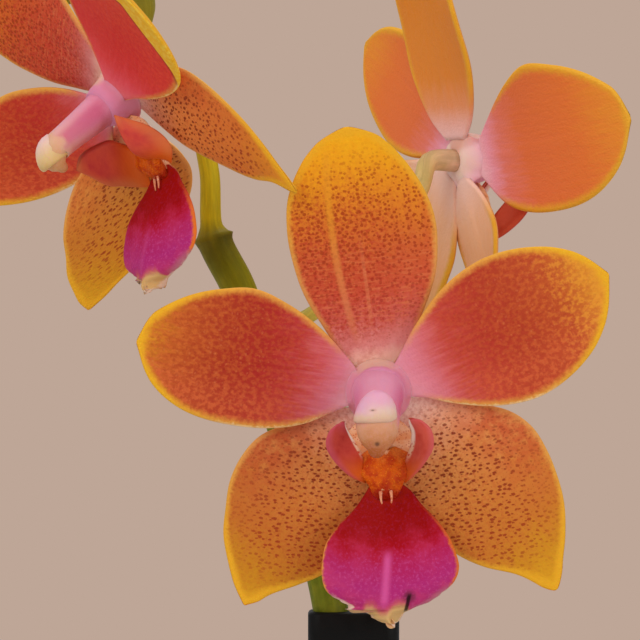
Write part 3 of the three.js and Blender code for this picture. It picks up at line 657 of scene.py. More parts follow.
# %% A sheet with a rounded rim
ROW_CROWDING, LAST_ROW, RIM_CROWDING = 1.5, 0.9995, 0.98
ROUND_REACH, FRONT_ROUND = 0.75, 0.35


def sheet_skin(title, place, outline, thickness, steps, wide, length, flip=1):
    """place(u, v) gives the front face, outline(u) its left and right half widths."""
    # The rows lie closer together towards the tip, where the outline turns fastest.
    u = 1 - (1 - np.linspace(0, 1, steps + 1)) ** ROW_CROWDING
    u[-1] = LAST_ROW
    spread = np.linspace(-1, 1, wide + 1) * math.pi / 2 * RIM_CROWDING
    v = np.sin(spread) / math.sin(math.pi / 2 * RIM_CROWDING)
    U, V = np.meshgrid(u, v, indexing="ij")
    small = 1e-3
    front = place(U, V)
    lengthwise = place(np.minimum(U + small, 1), V) - place(U - small, V)
    crosswise = place(U, np.minimum(V + small, 1)) - place(U, np.maximum(V - small, -1))
    normal = unit(np.cross(lengthwise, crosswise))
    left, right = outline(U)
    half = (left + right) / 2
    rim = np.minimum((1 - np.abs(V)) * half, (1 - U) * length)
    inward = np.clip(rim / (ROUND_REACH * thickness), 0, 1)
    round_off = np.sqrt(np.clip(1 - (1 - inward) ** 2, 0, 1))
    back = front - normal * (thickness * round_off)[..., None]
    front = front - normal * (thickness * FRONT_ROUND * (1 - round_off))[..., None]
    row = wide + 1
    index = np.arange((steps + 1) * row).reshape(steps + 1, row)
    shared = np.zeros_like(index, bool)
    shared[:, 0] = shared[:, -1] = shared[-1, :] = True
    behind = index.copy()
    behind[~shared] = index.size + np.arange((~shared).sum())
    points = np.vstack([front.reshape(-1, 3), back[~shared]])
    faces = []
    for i in range(steps):
        for j in range(wide):
            faces.append((index[i, j], index[i + 1, j], index[i + 1, j + 1], index[i, j + 1]))
            faces.append((behind[i, j], behind[i, j + 1], behind[i + 1, j + 1], behind[i + 1, j]))
    faces += [(index[0, j], index[0, j + 1], behind[0, j + 1], behind[0, j]) for j in range(wide)]
    faces = [tuple(dict.fromkeys(int(k) for k in f)) for f in faces]
    faces = [f for f in faces if len(f) > 2]
    across = flip * ((left - right) / 2 + V * half)
    flat = np.stack([across, U * length, rim], axis=-1)
    share = np.stack([U, flip * V, np.where(shared, 0.5, 1.0)], axis=-1)
    share_back = share.copy()
    share_back[..., 2] = 0.0
    flats = np.vstack([flat.reshape(-1, 3), flat[~shared]])
    shares = np.vstack([share.reshape(-1, 3), share_back[~shared]])
    return to_object(title, points, faces, flats, shares)


print("sheets ready")

# %% [markdown]
# Stems, buds, the column and the pot are round bodies. Each is a row of rings with a skin drawn
# over them and closed at both ends. Turned work has level rings, and a stem carries its rings
# square to a curve, which keeps it round however it bends.

# %% A skin over rings
def ring(centre, heading, wide, deep, sides, sideways=(1, 0, 0)):
    forward = unit(np.asarray(heading, float))
    up = unit(np.cross(forward, sideways))
    side = np.cross(up, forward)
    turn = np.linspace(0, 2 * math.pi, sides, endpoint=False)
    return np.asarray(centre) + wide * np.cos(turn)[:, None] * side + deep * np.sin(turn)[:, None] * up


def loft(title, rings):
    """A closed skin over rings of equally many points, with shares along and round it."""
    sides = len(rings[0])
    count = len(rings)
    points = np.vstack(rings + [rings[0].mean(0), rings[-1].mean(0)])
    faces = []
    for i in range(count - 1):
        for j in range(sides):
            k = (j + 1) % sides
            faces.append((i * sides + j, i * sides + k, (i + 1) * sides + k, (i + 1) * sides + j))
    first, final, top = count * sides, count * sides + 1, (count - 1) * sides
    for j in range(sides):
        k = (j + 1) % sides
        faces.append((first, k, j))
        faces.append((final, top + j, top + k))
    middles = np.array([r.mean(0) for r in rings])
    length = np.concatenate([[0], np.cumsum(np.linalg.norm(np.diff(middles, axis=0), axis=1))])
    reach = np.linalg.norm(rings[count // 2] - middles[count // 2], axis=1).mean()
    turn = np.linspace(0, 2 * math.pi, sides, endpoint=False)
    flat = np.array([(reach * t, l, 9.0) for l in length for t in turn])
    share = np.array([(l / length[-1], t / (2 * math.pi), 1.0) for l in length for t in turn])
    ends = [(0, 0, 9.0), (0, length[-1], 9.0)]
    share_ends = [(0, 0, 1.0), (1, 0, 1.0)]
    return to_object(title, points, faces, np.vstack([flat, ends]), np.vstack([share, share_ends]))


def turned_work(title, profile, sides):
    """A profile of (radius, height) turned about the upright axis, as on a potter's wheel."""
    return loft(title, [ring((0, 0, z), (0, 0, 1), r, r, sides) for r, z in profile])


def stem(title, points, radius, samples=60, sides=24, sideways=(0, 1, 0), wobble=0.0, seed=0):
    """A round stem with soft ends. radius(t) is its radius at each share of the length."""
    middles, length = smooth_path(points, samples)
    heading = np.gradient(middles, axis=0)
    rings = []
    for i, t in enumerate(np.linspace(0, 1, samples)):
        r = float(radius(t))
        made = ring(middles[i], heading[i], r, r, sides, sideways)
        if wobble:
            for k in range(sides):
                shift = noise.noise(Vector(made[k] * 0.25) + Vector((seed * 7.3, 0, 0)))
                made[k] += unit(made[k] - middles[i]) * wobble * shift
        rings.append(made)
    start = [rings[0].mean(0) + (rings[0] - rings[0].mean(0)) * s for s in (0.35, 0.75)]
    finish = [rings[-1].mean(0) + (rings[-1] - rings[-1].mean(0)) * s for s in (0.75, 0.35)]
    return loft(title, start + rings + finish)


print("rings ready")

# %% [markdown]
# ## The five tepals of a bloom
# A moth orchid bloom has three sepals behind and two broad petals in front of them. Each outline
# below gives half widths to the left and right of the middle line, from the base to the tip. The
# bloom table says where each bloom sits, which way it faces and how its tepals bend and twist.

# %% Outlines and blooms
OUTLINES = {
    "dorsal_sepal": [
        (0, 2.4, 2.4), (0.08, 4.6, 5.4), (0.2, 6.8, 8.2), (0.35, 9.1, 10.9), (0.5, 10.1, 12),
        (0.62, 10.2, 11.9), (0.75, 9.3, 10.4), (0.88, 6.6, 7.6), (0.96, 3.6, 4.9), (1, 1.6, 3)],
    "petal_left": [
        (0, 2.3, 2.3), (0.06, 3.6, 4.2), (0.2, 6.6, 7.8), (0.35, 8.2, 10.4), (0.52, 8.7, 12),
        (0.68, 8.3, 11), (0.8, 7, 9.4), (0.9, 4.7, 7.2), (0.97, 1.6, 4.9), (1, 0.2, 2.6)],
    "petal_right": [
        (0, 2.3, 2.3), (0.07, 4.2, 3.6), (0.17, 6.8, 6.2), (0.33, 9.9, 9.3), (0.5, 11.4, 10.8),
        (0.65, 11.1, 10.2), (0.8, 9.3, 8), (0.9, 6.9, 5), (0.97, 4, 1.4), (1, 2.6, -0.4)],
    "lateral_sepal_left": [
        (0, 1.4, 1.4), (0.08, 3.2, 4.2), (0.2, 6.2, 7.7), (0.33, 7.6, 11), (0.45, 8.3, 11.9),
        (0.58, 8.6, 11.4), (0.7, 8, 9.6), (0.8, 5.7, 7.7), (0.9, 3, 4.4), (0.97, 1.8, 1.6), (1, 1.2, 0.2)],
    "lateral_sepal_right": [
        (0, 2.6, 1.4), (0.05, 5.6, 2.6), (0.12, 7.8, 4.3), (0.28, 13.2, 7.2), (0.4, 14.9, 7.6),
        (0.52, 14.6, 7), (0.65, 13.2, 5.6), (0.75, 11.5, 3.6), (0.85, 8.8, 0.6), (0.93, 6, -0.9),
        (1, 3.9, -1.7)],
}
# The outer or upper side of each tepal, where the colour is ruddier
OUTER_SIDE = dict(zip(OUTLINES, (1, -1, 1, -1, 1)))
THICKNESS = 0.8
HUB = 3.3
PETAL_LAYER = 2.2
UP = np.array([0, 0, 1.0])

# The tepals of each bloom in the order of the outlines: angle, reach, how far the tip comes forward,
# width beside the outline's, twist, and how far the tip bends sideways
BLOOMS = {
    "front": {
        "centre": (17.7, -26, 330.3), "right": (1, 0, 0), "up": (0, 0, 1),
        "size": 1.0, "lip": 4, "swing": (0, 0, 0), "column": (1, 1, 1),
        "tepals": [(98, 39.7, 2, 1, 0, 0), (170, 36.7, 0.8, 1, 0, 0), (25, 38.3, 1.6, 1, 0, 0),
                   (237, 37.5, 1.5, 1, 0, 0), (308, 39.6, 1, 1, 0, 0)],
        "pedicel": [(17.5, -12, 331), (12, -2, 328), (4.3, 4, 322)],
    },
    "left": {
        "centre": (-21.1, -20, 375.1), "right": (0.409, -0.876, 0.254), "up": (-0.607, -0.054, 0.793),
        "size": 0.9, "lip": 0, "swing": (10, -26, -8), "column": (0.84, 1.13, 0.25),
        "tepals": [(122, 38.6, 4.2, 1, 13, -5.3), (182, 39.6, 18.2, 0.95, 1, -8),
                   (16, 34.9, 4.3, 1.14, 6, 6.8), (241, 35.5, 16.7, 1.15, -44, -11.5),
                   (318, 34, -5, 0.78, -3, -13)],
        "pedicel": [(-17.5, -9, 381.5), (-18, -2, 383), (-19.5, 4, 383.5)],
    },
    "back": {
        "centre": (31.8, 22, 367.2), "right": (-0.531, 0.841, 0.102), "up": (-0.029, -0.138, 0.99),
        "size": 1.03, "lip": 0, "swing": (0, -34, 0), "column": (0.85, 1, 1),
        "tepals": [(85, 38.9, -6.5, 1.09, -13, -1.8), (175, 34.4, 6.7, 1.13, 11, -3.6),
                   (29.6, 33.3, -0.7, 0.87, 2, 0), (246.5, 39.3, 2.2, 0.95, 27, 2.7),
                   (306, 37.5, 6, 1.17, 8, -4)],
        "pedicel": [(25, 15.5, 361.5), (13, 11, 346), (-0.5, 4, 337)],
    },
}
print("tepals to make:", sum(len(b["tepals"]) for b in BLOOMS.values()))

# %% Place a tepal
def bloom_frame(bloom):
    """Turns points of a bloom's own frame (right, up, out of its face) into the plant's frame."""
    right = unit(np.array(bloom["right"], float))
    up = np.array(bloom["up"], float)
    facing = unit(np.cross(right, up))
    turn = np.stack([right, np.cross(facing, right), facing])
    centre = np.array(bloom["centre"], float)
    return lambda points: np.asarray(points) @ turn + centre


def tepal_shape(part, row, size, seed):
    rows = OUTLINES[part]
    angle, length, forward, wide, twist, bend = row
    turn, twist = math.radians(angle), math.radians(twist)
    axis = np.array([math.cos(turn), math.sin(turn), 0])
    leftward = np.array([-axis[1], axis[0], 0])
    layer = PETAL_LAYER if part.startswith("petal") else 0.0

    def outline(u):
        u = np.clip(u, 0, 1)
        left, right = (along(rows, u, k) * wide * size for k in (1, 2))
        tip = np.sqrt(1 - np.clip((u - 0.94) / 0.06, 0, 1) ** 2)
        middle, half = (left - right) / 2, (left + right) / 2 * tip
        return half + middle, half - middle

    def place(u, v):
        share = np.clip(u, 0, 1)
        left, right = outline(share)
        across = (left - right) / 2 + v * (left + right) / 2
        curl = 0.9 * size * v * v * np.sin(math.pi * share)
        lean = twist * smoothstep(share, 0, 0.6)
        ripple = 0.22 * np.sin(7 * share + 2.1 * seed + 1.2 * v) * np.abs(v) ** 3 * np.sin(math.pi * share)
        groove = -0.22 * np.exp(-((across + 0.4) / 0.9) ** 2) * smoothstep(share, 0.02, 0.2) * (1 - share)
        height = layer + forward * size * u * u - curl + across * np.sin(lean) + ripple + groove
        far = HUB + (length * size - HUB) * u
        sideways = across * np.cos(lean) + bend * size * u * u
        return far[..., None] * axis + sideways[..., None] * leftward + height[..., None] * UP

    return place, outline


print("tepal shapes ready")

# %% [markdown]
# No two tepals of a real plant are quite alike: one folds its margin back. One petal is also
# painted lighter, which is painted light, as if it faced the lamps more. So the two recipes are
# called with a few values each, and a table names the tepals that differ. That is shorter than a
# material of its own for each.

# %% Make the tepals
looks = {
    # The lit petal is a lighter copy of the petal: painted light, with a more golden tip and pinker base
    "petal": petal_finish("petal"), "lit_golden_petal": petal_finish("lit_golden_petal", 0.14, golden_tip=True),
    "folded_petal": petal_finish("folded_petal", 0.6, 5.0, (240, 54, 52)),
    "red_petal": petal_finish("red_petal", 0.24, 0.0, (226, 62, 44)),
    "dorsal": sepal_finish("dorsal", "dorsal", 0.0, 0.6),
    "redder_dorsal": sepal_finish("redder_dorsal", "dorsal", 0.1, 0.0, (0.32, (218, 62, 44))),
    "lateral": sepal_finish("lateral", "lateral"),
    "golden_lateral": sepal_finish("golden_lateral", "lateral", 0.0, 0.0, (0.2, (224, 162, 34))),
    "darker_lateral": sepal_finish("darker_lateral", "lateral", 0.04, 0.0, (0.2, (160, 72, 14))),
    "redder_lateral": sepal_finish("redder_lateral", "lateral", 0.05, 0.0, (0.4, (238, 120, 52))),
}
# A plain tissue unless the tepal is named here
OWN_LOOK = {"front_petal_right": "lit_golden_petal", "left_petal_right": "folded_petal",
            "left_dorsal_sepal": "redder_dorsal", "left_lateral_sepal_right": "redder_lateral",
            "left_lateral_sepal_left": "golden_lateral", "left_petal_left": "red_petal",
            "front_lateral_sepal_left": "darker_lateral"}
for name, bloom in BLOOMS.items():
    to_plant = bloom_frame(bloom)
    for number, (part, row) in enumerate(zip(OUTLINES, bloom["tepals"])):
        shape, outline = tepal_shape(part, row, bloom["size"], number)
        steps, wide = (90, 60) if name == "front" else (60, 40)
        piece = sheet_skin(
            f"{name}_{part}_tissue", lambda u, v: to_plant(shape(u, v)), outline, THICKNESS, steps, wide,
            row[1] * bloom["size"], OUTER_SIDE[part])
        solid = f"{name}_{part}"
        look = looks[OWN_LOOK.get(solid, part.split("_")[0])]
        dress(piece, look, "petal" if part.startswith("petal") else "sepal", solid)
    print(name, "tepals made")

# %% [markdown]
# ## The lip
# The lip is the third petal, changed into a landing place: a shield-like mid lobe, dark red above
# and magenta below with a thin orange rim, two side lobes that stand up like small horns, and an
# orange callus between them with two pale whiskers.

# %% Lip finishes
SHIELD_TONES = [
    (0.0, (204, 70, 10)), (0.1, (176, 30, 8)), (0.18, (152, 12, 6)), (0.34, (154, 8, 10)),
    (0.42, (168, 10, 26)), (0.48, (180, 24, 60)), (0.56, (180, 34, 92)), (0.7, (176, 40, 112)),
    (0.84, (180, 46, 108)), (1.0, (196, 76, 112))]


def shield_finish(title, bruised):
    material, tree, shader = new_material(title)
    sheet = use(SHEET, tree)
    flat, share, side, across = sheet["Flat"], sheet["Share"], sheet["Side"], sheet["Across"]
    clouds, fine = stain(flat, 0.35, 4.0), stain(flat, 2.0, 3.0, 0.75)
    placed = jitter(share, clouds, 0.18)
    placed = jitter(placed, fine, 0.1)
    placed = plus(placed, times(side, side, 0.1))
    body = palette(placed, SHIELD_TONES)
    # Fine pale magenta specks: painted sparkle highlights
    painted_sparkle = times(soft_step(fine, 0.48, 0.7), soft_step(share, 0.4, 0.6, 0.08, 0.45))
    body = tint(painted_sparkle, body, (208, 88, 156))
    side_glow = times(calc("ABSOLUTE", side), soft_step(clouds, 0.4, 0.65), soft_step(share, 0.2, 0.45),
                      0.45)
    body = tint(side_glow, body, (206, 64, 104))
    from_keel = distance(across, scaled(share, 3.3, -1.2))
    # A pale painted highlight along the keel, strong on the bruised front lip and faint on the others
    keel = jitter(from_keel, fine, 1.0)
    keel = times(soft_step(keel, 1.0, 0.0), soft_step(share, 0.43, 0.52), soft_step(share, 0.88, 0.78))
    body = tint(times(keel, 0.8 if bruised else 0.2), body, (218, 88, 154))
    rightward = soft_step(side, 0.1, -0.6)
    rim = rim_of(sheet, times(rightward, 0.25), 0.55)
    rim = times(rim, soft_step(share, 0.12, 0.5), soft_step(share, 0.78, 0.7))
    body = tint(rim, body, tint(rightward, (228, 150, 60), (222, 112, 40)))
    start = jitter(soft_step(from_keel, 1.9, 0.2, 0.825, 0.885), fine, 0.05)
    start = plus(start, soft_step(across, 4.0, 5.4, 0.0, 0.12))
    start = plus(start, soft_step(across, -1.6, -2.6, 0.0, 0.12))
    past = minus(share, start)
    body = tint(soft_step(past, -0.07, 0.01, 0.0, 0.6), body, (204, 100, 88))
    body = tint(soft_step(past, -0.02, 0.05), body, tint(fine, (212, 160, 88), (206, 172, 124)))
    torn = rim_of(sheet, soft_step(across, 3.4, 5.2, 0.1, 0.7), 0.5)
    body = tint(times(torn, soft_step(share, 0.7, 0.8), 0.9), body, (230, 196, 176))
    greyish = times(soft_step(across, -2.4, -3.6), soft_step(sheet["Rim"], 2.2, 0.4),
                    soft_step(share, 0.68, 0.78))
    body = tint(times(greyish, 0.7), body, (186, 118, 128))
    if bruised:
        down = minus(sheet["Along"], 16.3)
        off = jitter(plus(across, 2.3), fine, 1.6)
        bruise = calc("SQRT", plus(times(off, off), times(down, down, 0.8)))
        body = tint(soft_step(bruise, 1.4, 0.3, 0.0, 0.75), body, (92, 38, 48))
        line = calc("ABSOLUTE", plus(times(down, -0.25), plus(across, 2.25)))
        line = times(soft_step(line, 0.42, 0.15), soft_step(down, -0.8, 0.0), soft_step(down, 2.9, 2.2))
        body = tint(times(line, 0.92), body, (34, 10, 14))
    back = palette(placed,
                   [(0.0, (206, 110, 70)), (0.45, (190, 70, 66)), (0.8, (200, 96, 104)),
                    (0.9, (222, 172, 124))])
    body = tint(soft_step(sheet["Front"], 0.1, 0.4), back, body)
    cells = use(CELLS, Flat=flat, Cell=0.35)
    finish_tissue(shader, body, cells, 0.05, 0.6, 0.1, 0.06)
    return material


def lobe_finish(title, pale, tones):
    """pale is how much of the inner edge is folded over and white, tones are dark, light and rim."""
    material, tree, shader = new_material(title)
    sheet = use(SHEET, tree)
    flat, share, side = sheet["Flat"], sheet["Share"], sheet["Side"]
    clouds = stain(flat, 0.6, 4.0)
    body = tint(soft_step(clouds, 0.35, 0.7), tones[1], tones[0])
    body = tint(soft_step(side, 0.05, -0.75), body, (216, 92, 22))
    rim = calc("MAXIMUM", soft_step(sheet["Rim"], 1.3, 0.2), times(soft_step(side, 0.5, 0.95), 0.6))
    body = tint(times(rim, soft_step(side, -0.95, -0.5), 0.6), body, tones[2])
    dots = use(SPOTS, Flat=flat, Spacing=0.5, Size=0.3, Blur=0.25, Amount=0.7)
    inner = tint(dots, (240, 196, 160), (206, 84, 50))
    if pale:
        fold = times(soft_step(share, pale, 0.5 * pale), soft_step(side, -0.4, 0.1))
        body = tint(fold, body, tint(soft_step(side, 0.1, 0.5), inner, (248, 222, 206)))
    body = tint(soft_step(sheet["Front"], 0.4, 0.1), body, (204, 84, 56))
    cells = use(CELLS, Flat=flat, Cell=0.35)
    finish_tissue(shader, body, cells, 0.06, 0.5)
    return material


def grainy_finish(title, tones, dot_tone, scale, depth, cut=0.5, ends=None):
    """Small bodies seen close up: two tones in clouds, dots of a third, and a tone at each end."""
    material, tree, shader = new_material(title)
    place = object_place(tree)
    clouds = stain(place, 0.7, 4.0)
    body = tint(soft_step(clouds, 0.35, 0.65), tones[0], tones[1])
    grains = node("TexVoronoi", {"Vector": place, "Scale": scale})
    chosen = calc("LESS_THAN", apart(grains.outputs["Color"])[0], cut)
    body = tint(times(soft_step(grains.outputs["Distance"], 0.42, 0.15), chosen, 0.7), body, dot_tone)
    if ends:
        share = jitter(use(SHEET, tree)["Share"], clouds, 0.5)
        body = tint(soft_step(share, 0.3, 0.05), body, ends[0])
        body = tint(soft_step(share, 0.62, 1.0), body, ends[1])
    height = minus(clouds, grains.outputs["Distance"])
    finish_tissue(shader, body, height, depth, 0.5)
    return material


print("lip finishes ready")

# %% [markdown]
# The mid lobe is a sheet with a keel, narrow at its neck and ragged at its tip. Each side lobe is
# a sheet between two edges, because it curls in every direction and rows of points follow that
# best. Callus and throat are small closed bodies with fine warts.

# %% Lip shapes
# The middle line of the mid lobe (share, height, depth) and its half widths (share, left, right)
SHIELD_LINE = [(0, -13.6, 2.6), (0.1, -15.5, 2.8), (0.38, -21.6, 5.6), (0.68, -28.3, 8.4), (1, -34.1, 9.8)]
SHIELD_OUTLINE = [
    (0, 2.2, 2.2), (0.07, 3.1, 3.8), (0.17, 4.9, 5.3), (0.27, 7.4, 7.2), (0.38, 9.4, 8.8), (0.5, 10.2, 9.8),
    (0.6, 10.4, 10.1), (0.7, 9.9, 9.2), (0.78, 8.3, 7.4), (0.82, 7, 6.2), (0.843, 6.7, 5.4),
    (0.856, 7.2, 4.7), (0.872, 5.1, 3.8), (0.9, 4.3, 2.4), (0.93, 3.5, 1.3), (0.97, 2.7, 0.9),
    (1, 1.8, 0.6)]
LIP_THICKNESS, SHIELD_LENGTH, HORN_DEPTH = 0.9, 21.0, 3.6
# Rows of each side lobe from its foot to its tip: the outer edge, then the inner edge.
# The lobes of the left bloom stand open and show their broad faces.
OPEN_HORNS = {
    -1: [(-1, -6.2, -15.6, 3, -1.8, -11.4, 3.2), (-0.6, -8, -14.4, 4, -1.6, -7.8, 4.5),
         (-0.2, -8.4, -12.7, 6, -0.8, -5.7, 6.5), (0.3, -8.1, -10.9, 8.5, -1.8, -4.8, 9),
         (0.75, -6.4, -7.9, 11, -3, -4.7, 11.5), (1, -5, -5.9, 12.8, -4.8, -5.7, 12.8)],
    1: [(-1, 4.5, -14.4, 3, 2.1, -11.7, 3.2), (-0.6, 7, -12.8, 2.5, 3, -11.5, 5),
        (-0.2, 7.8, -10.2, 2.5, 4, -9.5, 7), (0.3, 7.5, -7, 3.5, 4.8, -7, 7.5),
        (0.75, 6.2, -4.1, 5, 5, -4.5, 7), (1, 5, -2.2, 6, 5, -2.4, 6.2)],
}
HORNS = {
    -1: [(-1, -2.8, -13.5, 3, -1.8, -11.4, 3.2), (-0.6, -5.1, -12.3, 4.6, -2.8, -10.8, 3.6),
         (-0.2, -7.2, -10, 6.6, -3.1, -9.1, 4.6), (0.2, -8.4, -7.5, 8, -3.9, -7.3, 6.2),
         (0.6, -7.9, -5.3, 9.2, -4.7, -5.7, 8.2), (0.85, -6.7, -4.2, 9.7, -5.2, -4.6, 9.2),
         (1, -5.6, -3.9, 9.9, -5.3, -4, 9.8)],
    1: [(-1, 2.8, -13.9, 3, 2.1, -11.7, 3.2), (-0.6, 4.5, -12.7, 4.6, 2.8, -11.5, 3.6),
        (-0.2, 6.3, -10.7, 6.6, 3.3, -10, 4.6), (0.2, 7.5, -8.5, 8, 4, -8.2, 6.2),
        (0.6, 7.3, -5.9, 9.2, 4.3, -6.1, 8.2), (0.85, 5.9, -4.4, 9.7, 4, -4.8, 9.2),
        (1, 4.6, -4.1, 9.9, 4, -4.3, 9.8)],
}


def shield_shape(size, swing):
    """The mid lobe swings about its neck: degrees of roll, tilt and turn."""
    neck = np.array(SHIELD_LINE[0]) * [0, size, size]
    roll, tilt, yaw = (Matrix.Rotation(math.radians(d), 3, axis) for d, axis in zip(swing, "YXZ"))
    swung = np.array(yaw @ tilt @ roll).T

    def outline(u):
        u = np.clip(u, 0, 1)
        tooth = 0.16 * np.sin(95 * u) * np.sin(41 * u + 1) * smoothstep(u, 0.7, 0.8)
        tip = np.sqrt(1 - np.clip((u - 0.965) / 0.035, 0, 1) ** 2)
        left, right = along(SHIELD_OUTLINE, u, 1) + 1.6 * tooth, along(SHIELD_OUTLINE, u, 2) + tooth
        return right * tip * size, left * tip * size

    def place(u, v):
        share = np.clip(u, 0, 1)
        right, left = outline(share)
        x = (right - left) / 2 + v * (right + left) / 2
        keel = 0.7 * np.exp(-18 * v * v) * share
        z = (along(SHIELD_LINE, u, 2) - 3.4 * v * v * share + keel) * size
        return (np.stack([x, along(SHIELD_LINE, u, 1) * size, z], axis=-1) - neck) @ swung + neck

    return place, outline


def horn_shape(rows, side, size):
    def edge(w, start):
        return np.stack([along(rows, w, start + k) for k in range(3)], axis=-1)

    def place(u, v):
        w = np.clip(side * v, -1, 1)
        outer, inner = edge(w, 1), edge(w, 4)
        point = inner + (outer - inner) * u[..., None]
        point[..., 2] += 0.9 * np.sin(math.pi * np.clip(u, 0, 1)) * (1 - w * w)
        return point * size

    return place, lambda u: (3.9 * size * np.ones_like(u), 3.9 * size * np.ones_like(u))


def blob(title, centre, radii, rough, seed):
    """A rounded body with fine bumps."""
    made = bmesh.new()
    bmesh.ops.create_icosphere(made, subdivisions=4, radius=1.0)
    points = []
    for vertex in made.verts:
        point = Vector([c * r for c, r in zip(vertex.co, radii)])
        bump = noise.noise(point * 2.2 + Vector((seed, 0, 0))) * rough
        points.append(point + vertex.co * bump + Vector(centre))
    faces = [tuple(v.index for v in face.verts) for face in made.faces]
    made.free()
    return to_object(title, np.array(points), faces)


print("lip shapes ready")

# %% Make the lips
shield_looks = [shield_finish("lip_shield", False), shield_finish("bruised_lip_shield", True)]
lobe_looks = {-1: lobe_finish("lip_horn_left", 0.12, [(184, 52, 44), (200, 70, 58), (204, 88, 108)]),
              1: lobe_finish("lip_horn_right", 0.22, [(200, 66, 50), (214, 88, 70), (214, 100, 104)])}
open_lobe_look = lobe_finish("lip_open_lobe", 0.0, [(190, 54, 54), (206, 76, 56), (214, 120, 66)])
callus_look = grainy_finish("callus", [(222, 96, 8), (196, 62, 6)], (236, 130, 28), 2.9, 0.16, 0.6,
                            [(224, 118, 44), (172, 34, 12)])
throat_look = grainy_finish("throat", [(236, 176, 134), (228, 146, 92)], (188, 66, 26), 2.9, 0.05, 0.6)
whisker_look = grainy_finish("whisker", [(232, 160, 120), (218, 120, 84)], (244, 190, 160), 2.0, 0.05)


def turned_to_plant(bloom):
    """The lip hangs a little to one side, so it is turned in the bloom before it is placed."""
    to_plant = bloom_frame(bloom)
    turn = math.radians(bloom["lip"])
    mix = np.array([[math.cos(turn), math.sin(turn), 0], [-math.sin(turn), math.cos(turn), 0], [0, 0, 1]])
    return lambda points: to_plant(np.asarray(points) @ mix)


def move(piece, mapping):
    numbers = np.empty(len(piece.data.vertices) * 3, np.float32)
    piece.data.vertices.foreach_get("co", numbers)
    placed = mapping(numbers.reshape(-1, 3).astype(float) / MM) * MM
    piece.data.vertices.foreach_set("co", placed.astype(np.float32).ravel())
    piece.data.update()
    return piece


def sized(size, *numbers):
    return [c * size for c in numbers]


def roughen(piece, reach):
    """Fine warts, pushed out along the surface normals."""
    for vertex in piece.data.vertices:
        vertex.co += vertex.normal * noise.noise(vertex.co * 2200) * reach * MM
    return piece


# The callus from its upper to its lower end: height, middle, half width, depth of its middle, half depth
CALLUS_ROWS = [
    (-8.3, 0.2, 2.0, 2.6, 0.4), (-8.8, 0.2, 3.0, 2.9, 0.8), (-9.6, 0.2, 4.0, 3.1, 1.0),
    (-10.6, 0.2, 4.8, 3.3, 1.2), (-11.5, 0.2, 4.5, 3.5, 1.3), (-12.4, 0.2, 3.5, 3.6, 1.4),
    (-13.3, 0.1, 2.7, 3.6, 1.4), (-14.2, 0.1, 2.3, 3.5, 1.2), (-15.1, 0.1, 2.0, 3.4, 0.8),
    (-15.8, 0.1, 1.3, 3.2, 0.4)]
CLAW_LINE = [(0, -3.4, 2.3), (0, -6.5, 2.4), (0, -9.6, 2.4), (0, -14.6, 2.7)]
WHISKER_LINE = [(0.75, -14.7, 4.3), (0.8, -15.7, 5.0), (0.7, -16.4, 5.5)]


for name, bloom in BLOOMS.items():
    size, put = bloom["size"], turned_to_plant(bloom)
    solid = f"{name}_lip"
    place, outline = shield_shape(size, bloom["swing"])
    steps, wide = (90, 70) if name == "front" else (50, 40)
    shield = sheet_skin(f"{name}_lip_shield", lambda u, v: put(place(u, v)), outline, LIP_THICKNESS, steps,
                        wide, SHIELD_LENGTH * size, -1)
    dress(shield, shield_looks[name == "front"], "lip", solid)
    for side, label in ((-1, "left"), (1, "right")):
        place, outline = horn_shape((OPEN_HORNS if name == "left" else HORNS)[side], side, size)
        horn = sheet_skin(f"{name}_lip_lobe_{label}", lambda u, v: put(place(u, v)), outline, LIP_THICKNESS,
                          24, 48, HORN_DEPTH * size, side)
        dress(horn, open_lobe_look if name == "left" else lobe_looks[side], "lip", solid)
    rings = []
    for y, x, half, z, deep in CALLUS_ROWS:
        rings.append(ring(sized(size, x, y, z), (0, -1, 0), half * size, deep * size, 48))
    dress(move(roughen(loft(f"{name}_callus", rings), 0.3), put), callus_look, "lip", solid)
    parts = [blob("throat", sized(size, -0.4, -7.4, 1.9), sized(size, 5.0, 3.9, 1.0), 0.2, 6)]
    path = [sized(size, *point) for point in CLAW_LINE]
    parts.append(stem("claw", path, lambda t: (1.3 + 0.6 * t) * size, 20, 20))
    dress(move(merge(f"{name}_throat", parts), put), throat_look, "lip", solid)
    parts = []
    for side in (-1, 1):
        path = [sized(size, side * x, y, z) for x, y, z in WHISKER_LINE]
        parts.append(stem("whisker", path, lambda t: (0.27 - 0.16 * t) * size, 16, 10))
    dress(move(merge(f"{name}_whiskers", parts), put), whisker_look, "lip", solid)
print("lips made")

# %% [markdown]
# ## Column and anther cap
# In the middle of every orchid stands the column, a stout pink body that is broader behind its
# end. Its end is hooded by the paler anther cap, and below the flat edge of the cap a peach beak
# with the stigma hangs down. A low pink collar round its foot joins the tepals.

# %% Column, cap and collar
# The seam of the column's rings is on the left, so turn 0.5 is its right side, 0.25 its underside
# and 0.75 its top. Each has a tone: turn, how far off it starts and is full, its share, the tone.
# The tones are painted shade on the right side and underside and a painted highlight on the top.
COLUMN_LIGHT_AND_SHADE = [(0.5, 0.15, 0.03, 0.7, (206, 92, 132)), (0.25, 0.2, 0.06, 0.7, (204, 96, 92)),
                 (0.75, 0.2, 0.04, 0.45, (236, 176, 196))]


